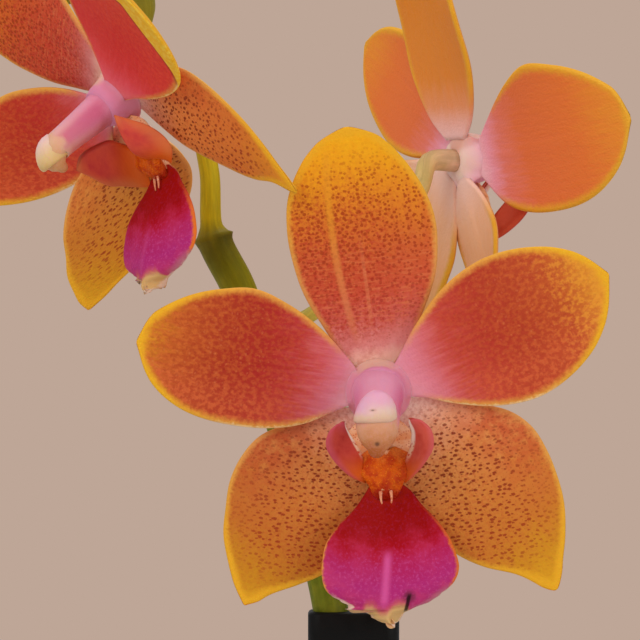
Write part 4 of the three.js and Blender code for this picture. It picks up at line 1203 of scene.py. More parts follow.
def column_finish(title, stops, mark=None, veil=None):
    """stops are colours along the body, veil is a tone for its left side, and mark is a small dark
    place: share, turn, its reach along and round, its tone."""
    material, tree, shader = new_material(title)
    sheet = use(SHEET, tree)
    place = object_place(tree)
    clouds, fine = stain(place, 0.5, 4.0), stain(place, 3.5, 3.0)
    share = jitter(sheet["Share"], clouds, 0.16)
    body = palette(share, stops)
    if veil:
        left = times(soft_step(sheet["Side"], 0.2, 0.45), soft_step(share, 0.85, 0.6))
        body = tint(left, body, veil)
    body = tint(soft_step(fine, 0.4, 0.75, 0.0, 0.2), body, (228, 160, 170))
    if "column" in title:
        middle = times(soft_step(share, 0.25, 0.4), soft_step(share, 0.78, 0.7))
        # Painted shade on the right side and underside and a painted highlight on the top
        for at, far, near, depth, tone in COLUMN_LIGHT_AND_SHADE:
            side = soft_step(distance(sheet["Side"], at), far, near)
            body = tint(times(side, middle, depth), body, tone)
    if mark:
        at, turn, reach, spread, tone = mark
        along_it = ratio(minus(sheet["Share"], at), reach)
        round_it = ratio(minus(sheet["Side"], turn), spread)
        away = calc("SQRT", plus(times(along_it, along_it), times(round_it, round_it)))
        body = tint(soft_step(away, 2.2, 0.6, 0.0, 0.4), body, (190, 128, 92))
        body = tint(soft_step(away, 0.9, 0.2, 0.0, 0.8), body, tone)
    finish_tissue(shader, body, fine, 0.05, 0.4, 0.3)
    return material


# The column from its hidden foot to its drooping end: share, height, depth, half width, half depth
COLUMN_ROWS = [
    (0, 0, -1.2, 1.6, 1.6), (0.08, 0, 0.2, 3.2, 3.2), (0.2, 0, 2.2, 4.0, 3.9), (0.34, -0.4, 4.8, 3.8, 3.6),
    (0.5, -1.2, 7.8, 3.55, 3.3), (0.68, -2.1, 11.4, 3.35, 3.0), (0.82, -3.4, 14.3, 3.2, 2.9),
    (0.89, -5.0, 15.0, 3.1, 2.65), (0.95, -6.9, 15.1, 2.5, 2.1), (1, -8.2, 14.9, 1.3, 1.2)]
# The hood from its crown to its flat lower edge, in the same five numbers as the callus
HOOD_ROWS = [
    (0.55, -0.4, 0.5, 14.2, 0.6), (0.3, -0.4, 1.1, 14.4, 1.2), (-0.2, -0.4, 1.75, 14.7, 1.7),
    (-0.8, -0.45, 2.3, 14.9, 2.1), (-1.7, -0.5, 2.75, 15.1, 2.45), (-2.6, -0.6, 3.0, 15.25, 2.6),
    (-3.3, -0.65, 3.15, 15.3, 2.65), (-3.75, -0.7, 3.15, 15.25, 2.6), (-4.05, -0.7, 3.1, 15.2, 2.5),
    (-4.2, -0.7, 2.9, 15.1, 2.3), (-4.2, -0.7, 1.5, 15.0, 1.2)]
# The column's mark is painted shade in the hollow of the stigma near the column's end
column_look = column_finish("column",
                            [(0.0, (232, 166, 182)), (0.2, (226, 148, 176)), (0.45, (218, 128, 166)),
                             (0.66, (214, 116, 150)), (0.75, (220, 138, 142)), (0.81, (218, 156, 118)),
                             (0.88, (204, 134, 84)), (0.95, (188, 104, 52)), (1.0, (180, 94, 40))],
                            (0.9, 0.75, 0.02, 0.04, (96, 58, 44)))
cap_look = column_finish("anther_cap",
                         [(0.0, (226, 156, 188)), (0.35, (230, 172, 190)), (0.6, (232, 196, 180)),
                          (0.8, (228, 192, 162)), (1.0, (222, 172, 144))],
                         (0.6, 0.28, 0.03, 0.02, (120, 92, 84)), (230, 172, 196))
left_column_look = column_finish("left_column",
                                 [(0.0, (232, 160, 180)), (0.3, (222, 136, 164)), (0.5, (220, 142, 160)),
                                  (0.66, (224, 164, 160)), (0.8, (224, 176, 140)), (0.92, (214, 156, 100)),
                                  (1.0, (190, 120, 70))])
left_cap_look = column_finish("left_anther_cap",
                              [(0.0, (236, 196, 196)), (0.3, (234, 200, 176)), (0.6, (228, 194, 138)),
                               (1.0, (216, 176, 108))])


def collar_finish(title):
    """Pink beside the petals, pale peach beside the dorsal sepal, lilac where it meets the column."""
    material, tree, shader = new_material(title)
    sheet = use(SHEET, tree)
    place = object_place(tree)
    clouds, fine = stain(place, 0.6, 4.0), stain(place, 3.5, 3.0)
    share = jitter(sheet["Share"], clouds, 0.2)
    body = palette(share,
                   [(0.0, (246, 216, 200)), (0.25, (246, 196, 206)), (0.4, (222, 138, 156)),
                    (0.65, (220, 134, 158)), (0.8, (222, 138, 168)), (1.0, (222, 138, 170))])
    # The seam of the ring lies below, a quarter turn before the right side.
    upward = soft_step(distance(sheet["Side"], 0.522), 0.15, 0.05)
    body = tint(times(upward, soft_step(share, 0.86, 0.66)), body, (230, 176, 158))
    finish_tissue(shader, body, fine, 0.05, 0.45, 0.3)
    return material


collar_look = collar_finish("collar")
# The collar from its hidden foot over its rim to the column: radius, height beside the petals
# and height between them
COLLAR_ROWS = [(1.4, -1.2, -1.2), (3.0, -0.8, -0.8), (4.0, 0.6, -0.5), (4.7, 1.8, -0.1), (4.95, 2.15, 0.15),
               (4.8, 2.3, 0.4), (4.5, 2.5, 0.9), (4.2, 2.8, 1.8), (4.0, 3.3, 2.8), (3.75, 4.1, 4.0),
               (3.3, 5.0, 5.0)]
# How far from a petal's middle the rim starts to dip and has dipped, and where the column's end droops
COLLAR_SLOPE = math.radians(28), math.radians(50)
COLUMN_BEND = -3.4
COLLAR_SIDES, COLUMN_SIDES = 72, 40


def collar_rings(size, tepals):
    """The collar's rim rests on the petals and dips to the sepals between them."""
    turn = np.linspace(0, 2 * math.pi, COLLAR_SIDES, endpoint=False) - math.pi / 2
    petals = [math.radians(row[0]) for part, row in zip(OUTLINES, tepals) if part.startswith("petal")]
    away = [np.abs((turn - petal + math.pi) % (2 * math.pi) - math.pi) for petal in petals]
    high = 1 - smoothstep(np.minimum(*away), *COLLAR_SLOPE)
    rings = []
    for radius, beside, between in COLLAR_ROWS:
        height = between + (beside - between) * high
        rings.append(np.stack([radius * np.cos(turn), radius * np.sin(turn), height], axis=1) * size)
    return rings


def column_rings(size, shape):
    """shape is how wide and long the column is, and how far it droops, beside the front one."""
    wide, long, droop = shape
    shares = np.linspace(0, 1, 30)
    low = along(COLUMN_ROWS, shares, 1)
    below_bend = (0.5 + 0.5 * droop) * np.minimum(low - COLUMN_BEND, 0)
    low = droop * np.maximum(low, COLUMN_BEND) + below_bend
    centres = np.stack([-0.5 * shares**2, low, along(COLUMN_ROWS, shares, 2) * long], axis=1) * size
    heading = np.gradient(centres, axis=0)
    rings = []
    for centre, forward, t in zip(centres, heading, shares):
        half, deep = (along(COLUMN_ROWS, t, k) * size * wide for k in (3, 4))
        rings.append(ring(centre, forward, half, deep, COLUMN_SIDES))
    end, tip = rings[-1], unit(heading[-1])
    for reach, shrink in ((0.5, 0.85), (0.85, 0.6), (1.05, 0.3)):
        rings.append((end - centres[-1]) * shrink + centres[-1] + tip * reach * size)
    return [np.roll(r, COLUMN_SIDES // 2, axis=0) for r in rings]


for name, bloom in BLOOMS.items():
    size, put = bloom["size"], bloom_frame(bloom)
    body = move(loft(f"{name}_column_tissue", column_rings(size, bloom["column"])), put)
    dress(body, left_column_look if name == "left" else column_look, "column", f"{name}_column")
    wide, long, droop = bloom["column"]
    rings = []
    for y, x, half, z, deep in HOOD_ROWS:
        middle = sized(size, x, y + 1.8 * (1 - droop), z * long)
        rings.append(ring(middle, (0, -1, 0), half * size * (0.4 + 0.6 * wide), deep * size, COLUMN_SIDES))
    hood_look = left_cap_look if name == "left" else cap_look
    dress(move(loft(f"{name}_anther_cap_tissue", rings), put), hood_look, "anther_cap",
          f"{name}_anther_cap")
    collar = move(loft(f"{name}_collar", collar_rings(size, bloom["tepals"])), put)
    dress(collar, collar_look, "column", f"{name}_column")
print("columns made")

# %% [markdown]
# ## Spike, flower stalks and buds
# The flower spike is one long stem with a swollen ring at each node and a small dry bract above
# it. Below the upper node it is thick and dark olive, and above it is thinner and yellow-green.

# %% Stem finishes
def stem_finish(title, tones):
    """tones are colours at shares of the length."""
    material, tree, shader = new_material(title)
    sheet = use(SHEET, tree)
    flat, share = sheet["Flat"], sheet["Share"]
    streak = use(STREAKS, Flat=flat, Fine=1.2, Long=9.0)
    clouds = stain(flat, 0.25, 4.0)
    body = palette(share, tones)
    body = tint(times(soft_step(clouds, 0.4, 0.75), 0.3), body, (176, 160, 40))
    body = tint(soft_step(streak, 0.35, 0.7, 0.25, 0.0), body, (60, 62, 6))
    height = plus(streak, stain(flat, 2.0, 3.0))
    finish_tissue(shader, body, height, 0.1, 0.46, 0.05)
    return material


SPIKE_PATH = [
    (8.9, 8.9, 95), (11.6, 9, 128), (11.8, 8, 180), (11.6, 6, 240), (11.4, 4, 290), (5.8, 4, 315.5),
    (1, 4, 331.5), (-3.9, 4, 346), (-7.9, 4, 354.4), (-8.6, 4, 365), (-11.6, 4, 375), (-18, 4, 382),
    (-26.5, 4, 389.5)]
NODE_HEIGHTS = [124, 158, 193, 228, 262, 305, 322, 337, 354.4, 374.5, 384]
UPPER_NODE, LOW_NODES = 8, 5
spike_line, spike_length = smooth_path(SPIKE_PATH, 700)
line_shares = np.linspace(0, 1, len(spike_line))
node_shares = [float(np.interp(h, spike_line[:, 2], line_shares)) for h in NODE_HEIGHTS]
upper_node = node_shares[UPPER_NODE]


def spike_radius(t):
    base = 2.7 + 0.3 * (1 - t) if t < upper_node else 1.72 - 0.6 * (t - upper_node) / (1 - upper_node)
    step = 1.0 * math.exp(-(((t - upper_node) / 0.004) ** 2))
    rings_here = sum(math.exp(-(((t - n) / 0.0032) ** 2)) for n in node_shares)
    return base * (0.75 if t < 0.004 else 1) + 0.5 * rings_here + 0.35 * step * (t > upper_node)


# The dark tone just below the upper node is painted shadow beneath the node's collar
STEM_TONES = [(0.0, (108, 122, 42)), (0.6, (84, 100, 20)), (0.72, (120, 124, 16)),
              (upper_node - 0.03, (142, 140, 14)), (upper_node - 0.002, (92, 86, 8)),
              (upper_node + 0.008, (206, 184, 22)), (1.0, (210, 192, 42))]
stem_look = stem_finish("spike_green", STEM_TONES)
spike = stem("spike_stem", SPIKE_PATH, spike_radius, 520, 28)
dress(spike, stem_look, "stem", "spike")
print("spike", round(spike_length), "mm long, upper node at", round(upper_node, 3))

# %% [markdown]
# A bract is a small pointed scale that hugs the stem above a node, so its sheet is bent round the
# stem. Flower stalks and buds are short stems, thick where the real ones swell.

# %% Bracts, stalks and buds
bract_look = stem_finish("bract", [(0.0, (112, 110, 34)), (0.7, (134, 112, 56)), (1.0, (120, 84, 50))])
dark_bract_look = stem_finish("dark_bract", [(0.0, (72, 68, 6)), (0.7, (84, 78, 10)), (1.0, (96, 78, 26))])
stalk_look = stem_finish("flower_stalk",
                         [(0.0, (232, 190, 160)), (0.15, (230, 200, 130)), (0.6, (214, 192, 92)),
                          (1.0, (190, 176, 60))])
bud_look = stem_finish("bud",
                       [(0.0, (132, 128, 34)), (0.4, (150, 142, 40)), (0.8, (112, 104, 24)),
                        (1.0, (150, 120, 40))])
# Length, radius at the foot and how far the tip stands off
LOW_BRACT, HIGH_BRACT = (10, 2.9, 0.9), (2.2, 2.7, 0.1)


def bract_shape(index):
    share = node_shares[index]
    at = lambda t: np.array([np.interp(t, line_shares, spike_line[:, k]) for k in range(3)])
    foot = at(share)
    up = unit(at(share + 0.01) - foot)
    out = unit(np.array([-1 if index % 2 else 1, -0.5, 0.0]))
    beside = np.cross(up, out)
    length, radius, opening = LOW_BRACT if index < LOW_NODES else HIGH_BRACT

    def outline(u):
        half = radius * 1.5 * np.sqrt(np.clip(1 - np.clip(u, 0, 1) ** 1.6, 0, 1))
        return half, half

    def place(u, v):
        turn = v * outline(u)[0] / radius
        reach = radius + 0.15 + u * u * opening
        return (foot + (u * length - 0.4)[..., None] * up + (reach * np.cos(turn))[..., None] * out
                + (reach * np.sin(turn))[..., None] * beside)

    return place, outline, length


for index in range(UPPER_NODE):
    place, outline, length = bract_shape(index)
    made = sheet_skin(f"bract_{index + 1}", lambda u, v: place(u, -v), outline, 0.5, 16, 20, length)
    dress(made, bract_look if index < LOW_NODES else dark_bract_look, "stem", "spike")

for name, bloom in BLOOMS.items():
    centre = np.array(bloom["centre"], float)
    facing = unit(np.cross(bloom["right"], bloom["up"]))
    line = [centre - facing * (1.0 * bloom["size"]), centre - facing * 6, *bloom["pedicel"]]
    rows = [(0, 1.9), (0.25, 1.3), (0.6, 1.1), (1, 1.4)]
    stalk = stem(f"{name}_stalk", line, lambda t: along(rows, t), 50, 20, (0, 0, 1))
    dress(stalk, stalk_look, "pedicel", f"{name}_pedicel")

BUDS = {
    "bud_1": ([(-19.5, 6, 384), (-19, 9.5, 388), (-21.9, 10, 393.2), (-23.5, 9, 398.5)], 4.3),
    "bud_2": ([(-27, 4, 390), (-28.6, 5, 391), (-31.8, 6, 393.6), (-36.3, 6, 397)], 3.6),
}
for name, (line, fat) in BUDS.items():
    rows = [(0, 0.9), (0.3, 1), (0.45, fat * 0.72), (0.62, fat), (0.8, fat * 0.8), (0.94, fat * 0.35),
            (1, 0.4)]
    made = stem(f"{name}_tissue", line, lambda t: along(rows, t), 60, 32)
    dress(made, bud_look, "bud", name)
print("bracts, stalks and buds made")

# %% [markdown]
# ## Clip and stake
# A black plastic clip holds the spike to a stake. Moulded plastic has rounded edges, a parting
# line where the two halves of the mould met, and a fine matte grain, so a plain black block would
# look wrong even though only its upper edge is in the close view.

# %% Clip and stake finishes
def plastic_finish(title):
    material, tree, shader = new_material(title)
    place = object_place(tree)
    grain, clouds = stain(place, 6.0, 4.0), stain(place, 0.4, 3.0)
    body = tint(clouds, (5, 5, 4), (13, 11, 10))
    scuffs = soft_step(stain(place, 1.6, 5.0, 0.7), 0.66, 0.74, 0.0, 0.3)
    wire(shader.inputs["Base Color"], tint(scuffs, body, (40, 36, 34)))
    wire(shader.inputs["Roughness"], soft_step(clouds, 0.3, 0.7, 0.4, 0.56))
    shader.inputs["Specular IOR Level"].default_value = 0.14
    relief(shader, grain, 0.04)
    return material


def stake_finish(title):
    material, tree, shader = new_material(title)
    x, y, z = apart(object_place(tree))
    fibres = stain(together(x, y, ratio(z, 18.0)), 2.2, 4.0)
    body = tint(soft_step(fibres, 0.3, 0.7), (38, 62, 36), (64, 88, 52))
    wire(shader.inputs["Base Color"], body)
    wire(shader.inputs["Roughness"], soft_step(fibres, 0.3, 0.7, 0.5, 0.66))
    relief(shader, fibres, 0.12)
    return material


print("clip and stake finishes ready")

# %% [markdown]
# The clip is a band with two thin tabs behind it. Rings with rounded corners give blocks with soft
# edges, and a shallow groove at half height is the parting line. The stake is a plain rod.

# %% Make clip and stake
def rounded_block(title, centre, halves, corner, turn=0.0, groove=0.0):
    """An upright block with rounded corners and edges, and a fine groove at half its height."""
    w, d, h = halves
    edge = 0.5
    rows = [(-h, edge), (-h + 0.15, 0.2), (-h + edge, 0)]
    rows += [(-0.25, 0), (0, groove), (0.25, 0)]
    rows += [(h - edge, 0), (h - 0.15, 0.2), (h, edge)]
    around = np.linspace(0, 2 * math.pi, 96, endpoint=False)
    across = np.stack([np.clip(np.cos(around) * 1e6, -(w - corner), w - corner),
                       np.clip(np.sin(around) * 1e6, -(d - corner), d - corner)], axis=1)
    outward = np.stack([np.cos(around), np.sin(around)], axis=1)
    c, s = math.cos(turn), math.sin(turn)
    rings = []
    for z, inset in rows:
        x, y = (across + outward * (corner - inset)).T
        rings.append(np.stack([c * x - s * y, s * x + c * y, np.full(96, z)], axis=1) + centre)
    return loft(title, rings)


CLIP_CENTRE = np.array([14.3, 4.2, 289.0])
blocks = [rounded_block("band", CLIP_CENTRE, (7.2, 4.3, 6), 2.2, 0.0, 0.18)]
for side in (-1, 1):
    middle = CLIP_CENTRE + np.array([2.6 * side, 4.3 + 2.4, 0])
    blocks.append(rounded_block("tab", middle, (0.8, 3.5, 4.2), 0.6, math.radians(-14 * side), 0.0))
clip = merge("clip_moulding", blocks)
dress(clip, plastic_finish("clip_plastic"), "clip", "clip")

foot, top = np.array([17, 21, 22.0]), np.array([17.7, 4.2, 298.0])
rings = []
for t, r in ((0, 1.6), (0.003, 1.95), (0.25, 2.0), (0.5, 1.97), (0.75, 2.0), (0.996, 1.98), (0.999, 1.75),
             (1, 1.2)):
    rings.append(ring(foot + (top - foot) * t, top - foot, r, r, 32))
stake = loft("stake_rod", rings)
dress(stake, stake_finish("stake_wood"), "stake", "stake")
print("clip and stake made")

# %% [markdown]
# ## Leaves
# Six strap leaves stand in two ranks and clasp a short crown. Each is folded along its midrib,
# glossy dark green above and paler below, with faint lengthwise veins. They are drawn as sheets
# whose midrib is part of a circle, so that they rise and then hang over as they do on the plant.

# %% Leaf finish
def leaf_finish(title, young=0.0):
    material, tree, shader = new_material(title)
    sheet = use(SHEET, tree)
    flat, share, side = sheet["Flat"], sheet["Share"], sheet["Side"]
    veins = use(STREAKS, Flat=flat, Fine=0.75, Long=40.0)
    clouds = stain(flat, 0.05, 4.0, 0.6)
    body = tint(soft_step(clouds, 0.3, 0.7), (44, 78, 34), (66, 104, 44))
    body = tint(young, body, (104, 140, 58))
    body = tint(soft_step(veins, 0.42, 0.66, 0.0, 0.35), body, (86, 122, 56))
    middle = calc("ABSOLUTE", side)
    body = tint(soft_step(middle, 0.07, 0.01, 0.0, 0.7), body, (34, 62, 26))
    base = soft_step(share, 0.16, 0.0, 0.0, 0.8)
    body = tint(base, body, (124, 138, 74))
    rim = rim_of(sheet, 0.5, 1.0)
    body = tint(times(rim, 0.5), body, (92, 66, 52))
    pale = tint(soft_step(veins, 0.35, 0.65), (98, 126, 74), (118, 142, 90))
    pale = tint(soft_step(stain(flat, 0.12, 4.0), 0.55, 0.75, 0.0, 0.4), pale, (116, 84, 84))
    body = tint(soft_step(sheet["Front"], 0.25, 0.6), pale, body)
    height = plus(veins, times(stain(flat, 0.9, 4.0), 0.25))
    rough = soft_step(stain(flat, 0.3, 4.0), 0.3, 0.75, 0.27, 0.42)
    finish_tissue(shader, body, height, 0.3, rough, 0.05)
    return material


# Turn, height of the foot, length, half width, and how steeply foot and tip rise, in degrees
LEAVES = [(8, 99, 158, 31, 26, -46), (172, 101, 165, 33, 30, -40), (-14, 104, 150, 32, 46, -26),
          (194, 106, 140, 30, 50, -18), (6, 109, 112, 26, 64, 6), (176, 111, 70, 17, 76, 34)]
LEAF_OUTLINE = [(0, 0.2), (0.08, 0.34), (0.25, 0.68), (0.5, 0.96), (0.68, 1), (0.85, 0.82), (0.95, 0.5),
                (1, 0.2)]


def leaf_shape(turn, height, length, half, first, last):
    azimuth = math.radians(turn - 20)
    out = np.array([math.cos(azimuth), math.sin(azimuth), 0])
    side = np.array([-out[1], out[0], 0])
    first, last = math.radians(first), math.radians(last)
    bend = (last - first) / length

    def outline(u):
        u = np.clip(u, 0, 1)
        tip = np.sqrt(1 - np.clip((u - 0.93) / 0.07, 0, 1) ** 2)
        width = half * along(LEAF_OUTLINE, u) * tip
        return width, width

    def place(u, v):
        width = half * along(LEAF_OUTLINE, np.clip(u, 0, 1))
        tip = outline(u)[0]
        slope = first + (last - first) * u
        reach = 7 + (np.sin(slope) - np.sin(first)) / bend
        rise = (np.cos(first) - np.cos(slope)) / bend
        fold = 0.26 * width * np.abs(v) ** 1.4 + 0.9 * np.sin(9 * u + 2 * v) * v * v * u
        groove = -0.7 * np.exp(-((v * width) / 1.6) ** 2) * (1 - 0.6 * u)
        lift = fold * (tip / width) + groove
        outward = (reach - lift * np.sin(slope))[..., None]
        upward = (rise + lift * np.cos(slope))[..., None]
        return outward * out + (v * tip)[..., None] * side + np.array([0, 0, height]) + upward * UP

    return place, outline


leaf_look, young_look = leaf_finish("leaf_green"), leaf_finish("young_leaf_green", 0.4)
for number, row in enumerate(LEAVES):
    place, outline = leaf_shape(*row)
    made = sheet_skin(f"leaf_{number + 1}_blade", place, outline, 2.0, 70, 36, row[2])
    dress(made, young_look if number > 4 else leaf_look, "leaf", f"leaf_{number + 1}")
print("leaves made")

# %% [markdown]
# ## Crown and roots
# Aerial roots are coated in a silvery skin that turns green when wet, and they dive into the bark.
# They lie below the close view. Each root is a stem
# along its own curve, a little knobbly.

# %% Crown and roots
def root_finish(title):
    material, tree, shader = new_material(title)
    place = object_place(tree)
    clouds, fine = stain(place, 0.12, 4.0), stain(place, 1.4, 5.0, 0.7)
    body = tint(soft_step(clouds, 0.35, 0.65), (150, 162, 138), (104, 128, 82))
    body = tint(soft_step(fine, 0.45, 0.75, 0.0, 0.5), body, (184, 188, 172))
    height = apart(place)[2]
    crown = soft_step(height, 97.0, 104.0)
    body = tint(crown, body, (98, 118, 56))
    finish_tissue(shader, body, fine, 0.25, 0.62, 0.05)
    return material


# Heights and radii of the crown's body
CROWN = [(72, 3), (75, 5.4), (78, 7), (88, 9), (96, 9.3), (99, 8.7), (103, 9.2), (106, 8.6), (110, 8.9),
         (113.5, 7.2), (116, 5), (117, 3)]
ROOTS = 7
parts = [turned_work("crown_body", [(r, z) for z, r in CROWN], 40)]
for k in range(ROOTS):
    turn = math.radians(18 + k * 360 / ROOTS + (9 if k % 2 else -6))
    reach, drift = 33 + (k % 3) * 4, 0.22 * (1 if k % 2 else -1)
    at = lambda r, z, more=0.0: (r * math.cos(turn + more), r * math.sin(turn + more), z)
    line = [at(3, 86), at(13, 92 + k % 2), at(0.55 * reach, 94.5 + k % 3, drift),
            at(0.85 * reach, 91, 1.3 * drift), at(reach, 80, 1.6 * drift), at(reach + 2, 68, 1.7 * drift)]
    parts.append(stem("root", line, lambda t: 2.8 * (1 - 0.25 * t), 60, 20, (0, 0, 1), 0.5, k + 1))
dress(merge("crown_and_roots", parts), root_finish("root_skin"), "root", "crown_roots")
print("crown and roots made")

# %% [markdown]
# ## Bark
# Moth orchids grow in split bark, so chips of two sizes are strewn over a filling. Each chip is a
# finely cut cube that is stretched, tapered and pushed about by noise. They are spread by the
# golden angle, which leaves no rows. Dice and noise are seeded, so the bark is the same on
# every run.

# %% Bark
POT_FOOT, POT_SHOULDER, POT_HEIGHT, POT_WALL = 43.0, 57.5, 105.0, 4.0
BARK_FLOOR, BARK_TOP, BARK_GAP = 5.3, 88.0, 0.5
LARGE_CHIPS, SMALL_CHIPS, GOLDEN_TURN = 20, 70, 2.399963
BARK_SEED = 7


def pot_outside(z):
    return POT_FOOT + (POT_SHOULDER - POT_FOOT) * z / POT_HEIGHT


def pot_inside(z):
    return pot_outside(z) - POT_WALL


class Draw:
    """A small seeded dice, the same on every run."""
    FACTOR, STEP, FACES = 1664525, 1013904223, 4294967296

    def __init__(self, seed):
        self.state = seed

    def __call__(self, low=0.0, high=1.0):
        self.state = (self.state * self.FACTOR + self.STEP) % self.FACES
        return low + (high - low) * self.state / self.FACES


def bark_chip(place, sizes, taper, turns, seed):
    """A split piece of bark: a wedge with broken edges and a fibrous face."""
    made = bmesh.new()
    bmesh.ops.create_cube(made, size=1.0)
    bmesh.ops.subdivide_edges(made, edges=made.edges[:], cuts=7, use_grid_fill=True)
    roll, tilt, yaw = (Matrix.Rotation(angle, 3, axis) for angle, axis in zip(turns, "XYZ"))
    turn = yaw @ tilt @ roll
    points = []
    for vertex in made.verts:
        p = Vector([c * s for c, s in zip(vertex.co, sizes)])
        if p.x > 0:
            thinner = 1 - (1 - taper) * 2 * vertex.co.x
            p.y, p.z = p.y * thinner, p.z * thinner
        round_off = 1 - 0.1 * (sum(abs(c) > 0.49 for c in vertex.co) - 1)
        jag = noise.noise_vector(p * 0.2 + Vector((seed * 3.1, 0, 0))) * 1.6
        fibre = noise.noise(Vector((p.x * 0.12, p.y * 0.9, seed * 5.7))) * 0.55
        p = p * round_off + jag + Vector((0, 0, fibre))
        points.append(turn @ p + Vector(place))
    faces = [tuple(v.index for v in face.verts) for face in made.faces]
    made.free()
    return to_object("chip", np.array(points), faces)


def bark_pieces():
    # The noise vectors start from the clock unless they are given a number, as the dice is.
    noise.seed_set(BARK_SEED)
    draw, wall = Draw(BARK_SEED), pot_inside(BARK_TOP) - BARK_GAP
    chips = []
    for k in range(LARGE_CHIPS):
        reach, turn = (wall - 10) * math.sqrt((k + 0.5) / LARGE_CHIPS), k * math.radians(137.5)
        height = BARK_TOP + 0.8 * draw()
        sizes = (draw(14, 24), draw(9, 14), draw(4.5, 7))
        taper = draw(0.45, 0.75)
        turns = (math.radians(draw(-25, 25)), math.radians(draw(-22, 22)), draw(0, 2 * math.pi))
        place = (reach * math.cos(turn), reach * math.sin(turn), height)
        chips.append(bark_chip(place, sizes, taper, turns, k))
    for k in range(SMALL_CHIPS):
        reach, turn = (wall - 4) * math.sqrt((k + 0.5) / SMALL_CHIPS), k * GOLDEN_TURN + 0.4
        sizes = (draw(4, 9), draw(3, 5), draw(1.6, 3))
        turns = [draw(-0.5, 0.5), draw(-0.5, 0.5), draw(0, 2 * math.pi)]
        place = (reach * math.cos(turn), reach * math.sin(turn), BARK_TOP + draw(-0.5, 1.6))
        chips.append(bark_chip(place, sizes, draw(0.5, 0.9), turns, k + 40))
    shares = [(BARK_FLOOR, 0.98), (BARK_FLOOR, 1.0), (30, 1.0), (60, 1.0), (84, 1.0), (86, 0.93),
              (87.5, 0.7), (88.3, 0.45), (88.8, 0.2)]
    fill = turned_work("fill", [((pot_inside(z) - BARK_GAP) * s, z) for z, s in shares], 64)
    whole = merge("bark_pieces", chips + [fill])
    numbers = np.empty(len(whole.data.vertices) * 3, np.float32)
    whole.data.vertices.foreach_get("co", numbers)
    p = numbers.reshape(-1, 3) / MM
    limit = pot_inside(p[:, 2]) - BARK_GAP
    reach = np.hypot(p[:, 0], p[:, 1])
    p[:, :2] *= np.minimum(1, limit / np.maximum(reach, 1e-6))[:, None]
    p[:, 2] = np.maximum(p[:, 2], BARK_FLOOR)
    whole.data.vertices.foreach_set("co", (p * MM).astype(np.float32).ravel())
    whole.data.update()
    whole.data.shade_flat()
    return whole


def bark_finish(title):
    material, tree, shader = new_material(title)
    place = object_place(tree)
    clouds, fine = stain(place, 0.09, 4.0), stain(place, 0.7, 6.0, 0.7)
    pieces = node("TexVoronoi", {"Vector": place, "Scale": 0.11}, feature="F1").outputs["Color"]
    body = tint(soft_step(clouds, 0.3, 0.7), (78, 46, 28), (122, 78, 48))
    body = tint(times(apart(pieces)[0], 0.5), body, (58, 34, 24))
    body = tint(soft_step(fine, 0.5, 0.72, 0.0, 0.6), body, (156, 112, 72))
    body = tint(soft_step(fine, 0.42, 0.28, 0.0, 0.8), body, (36, 22, 16))
    wire(shader.inputs["Base Color"], body)
    wire(shader.inputs["Roughness"], soft_step(fine, 0.3, 0.7, 0.95, 0.75))
    relief(shader, fine, 0.9)
    return material


dress(bark_pieces(), bark_finish("bark_wood"), "bark", "bark")
print("bark made")

# %% [markdown]
# ## Pot
# The pot is glazed, with an unglazed foot. Its profile runs from the foot over the rolled rim to
# the inside and is turned about the upright axis, as on a wheel. Drain holes are cut through the
# floor at the end, because a profile can't hold them.

# %% Pot
def pot_finish(title):
    material, tree, shader = new_material(title)
    place = object_place(tree)
    height = apart(place)[2]
    clouds, fine = stain(place, 0.03, 4.0), stain(place, 0.9, 4.0)
    glaze = tint(clouds, (226, 221, 210), (238, 234, 226))
    specks = node("TexVoronoi", {"Vector": place, "Scale": 0.35})
    chosen = calc("LESS_THAN", apart(specks.outputs["Color"])[0], 0.35)
    specks = times(soft_step(specks.outputs["Distance"], 0.16, 0.07, 0.0, 0.7), chosen)
    glaze = tint(specks, glaze, (132, 112, 92))
    foot = soft_step(jitter(height, fine, 1.2), 3.4, 2.4)
    clay = tint(fine, (178, 142, 112), (200, 166, 136))
    wire(shader.inputs["Base Color"], tint(foot, glaze, clay))
    wire(shader.inputs["Roughness"], scaled(foot, 0.55, soft_step(clouds, 0.3, 0.7, 0.16, 0.24)))
    turning = stain(together(0.0, 0.0, height), 0.22, 2.0)
    skin = plus(turning, times(fine, scaled(foot, 0.5, 0.03)))
    relief(shader, skin, 0.6)
    return material


def pot_profile():
    """Foot, outer wall, rolled rim, inner wall and floor, from the underside to the inside."""
    rows = [(20, 0), (41, 0), (42.0, 0.15), (42.8, 0.6), (43.1, 1.2)]
    rows += [(pot_outside(z), z) for z in (4, 20, 45, 70, 88, 91)]
    rows += [(pot_outside(z) + more, z) for z, more in ((91.7, 0.5), (92.5, 1.5), (93.4, 2.2), (94.6, 2.5))]
    rows += [(59.4, 100), (59.9, 103), (59.8, 104), (59.3, 104.7), (58.4, 105), (55.6, 105), (54.6, 104.7),
             (54, 104)]
    rows += [(pot_inside(z), z) for z in (102, 88, 60, 30, 8)]
    return rows + [(38.6, 6), (37.5, 5.2), (36, 5), (8, 5)]


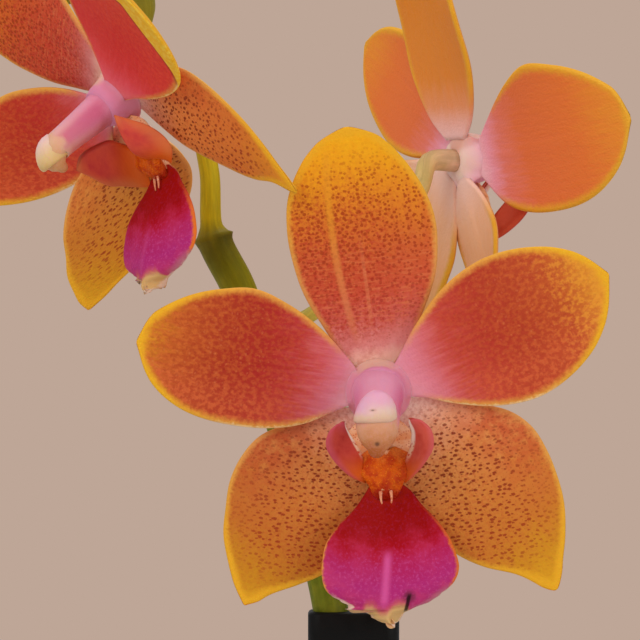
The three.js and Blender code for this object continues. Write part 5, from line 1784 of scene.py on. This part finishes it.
DRAINS, DRAIN_CIRCLE, DRAIN_RADIUS = 4, 24, 4
pot = turned_work("pot_turned", pot_profile(), 160)
cutters = []
for k in range(DRAINS):
    turn = 2 * math.pi * (k + 0.5) / DRAINS
    drain = turned_work("drain", [(DRAIN_RADIUS, -3), (DRAIN_RADIUS, 9)], 40)
    middle = Vector((DRAIN_CIRCLE * math.cos(turn), DRAIN_CIRCLE * math.sin(turn), 0))
    drain.data.transform(Matrix.Translation(middle * MM))
    cutters.append(drain)
cutter = merge("drains", cutters)
cut = pot.modifiers.new("drain holes", "BOOLEAN")
cut.operation, cut.object, cut.solver = "DIFFERENCE", cutter, "EXACT"
bpy.context.view_layer.update()
drilled = bpy.data.meshes.new_from_object(pot.evaluated_get(bpy.context.evaluated_depsgraph_get()))
pot.modifiers.clear()
pot.data = drilled
bpy.data.objects.remove(cutter)
dress(pot, pot_finish("pot_glaze"), "pot", "pot")
print("pot made,", len(pot.data.vertices), "points")

# %% [markdown]
# ## Floor and light
# A pale floor and three broad lights, as for a small thing in a studio: a large soft key from the
# left, a weaker fill from the right, and one above. The sky is soft white for everything except
# what the camera sees past the plant, which is the plain warm grey of the photograph's background.

# %% Floor
floor = turned_work("studio_floor", [(895, -6), (900, -3), (897, 0), (300, 0)], 96)
material, tree, shader = new_material("studio_floor")
mottle = stain(object_place(tree), 0.012, 3.0)
wire(shader.inputs["Base Color"], tint(mottle, (226, 222, 216), (232, 228, 223)))
shader.inputs["Roughness"].default_value = 0.7
floor.data.materials.append(material)
floor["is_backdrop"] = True
print("floor made")

# %% Lights and sky
def soft_light(title, place, aim, power, width, colour=(1, 1, 1)):
    data = bpy.data.lights.new(title, "AREA")
    data.shape, data.size, data.energy, data.color = "DISK", width, power, colour
    lamp = bpy.data.objects.new(title, data)
    lamp.location = place
    lamp.rotation_euler = (Vector(aim) - Vector(place)).to_track_quat("-Z", "Y").to_euler()
    bpy.context.scene.collection.objects.link(lamp)


BLOOM_MIDDLE = (0.01, -0.02, 0.34)
soft_light("key", (-0.55, -0.85, 0.95), BLOOM_MIDDLE, 6.2, 0.9, (1.0, 0.98, 0.95))
soft_light("fill", (0.9, -0.7, 0.45), BLOOM_MIDDLE, 3.4, 0.9, (1.0, 0.97, 0.94))
soft_light("above", (0.1, 0.35, 1.3), BLOOM_MIDDLE, 4.4, 0.8)

world = bpy.context.scene.world or bpy.data.worlds.new("studio")
bpy.context.scene.world = world
world.use_nodes = True
sky = world.node_tree
sky.nodes.clear()
seen = add_node(sky, "Background", {"Color": srgb(190, 166, 151), "Strength": 1.0})
lit = add_node(sky, "Background", {"Color": (0.98, 0.97, 1.0, 1.0), "Strength": 0.47})
to_camera = add_node(sky, "LightPath").outputs["Is Camera Ray"]
mixed = add_node(sky, "MixShader", {0: to_camera, 1: lit.outputs[0], 2: seen.outputs[0]})
add_node(sky, "OutputWorld", {"Surface": mixed.outputs[0]})
bpy.context.scene.view_settings.view_transform = "Standard"
print("three lights and a sky")

# %% Show the sizes and finish
dressed_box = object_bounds()
plain = lambda box: [[float(c) for c in corner] for corner in box]
{"solid": plain(solid_box), "dressed": plain(dressed_box)}
print("solid box", plain(solid_box), "dressed box", plain(dressed_box))
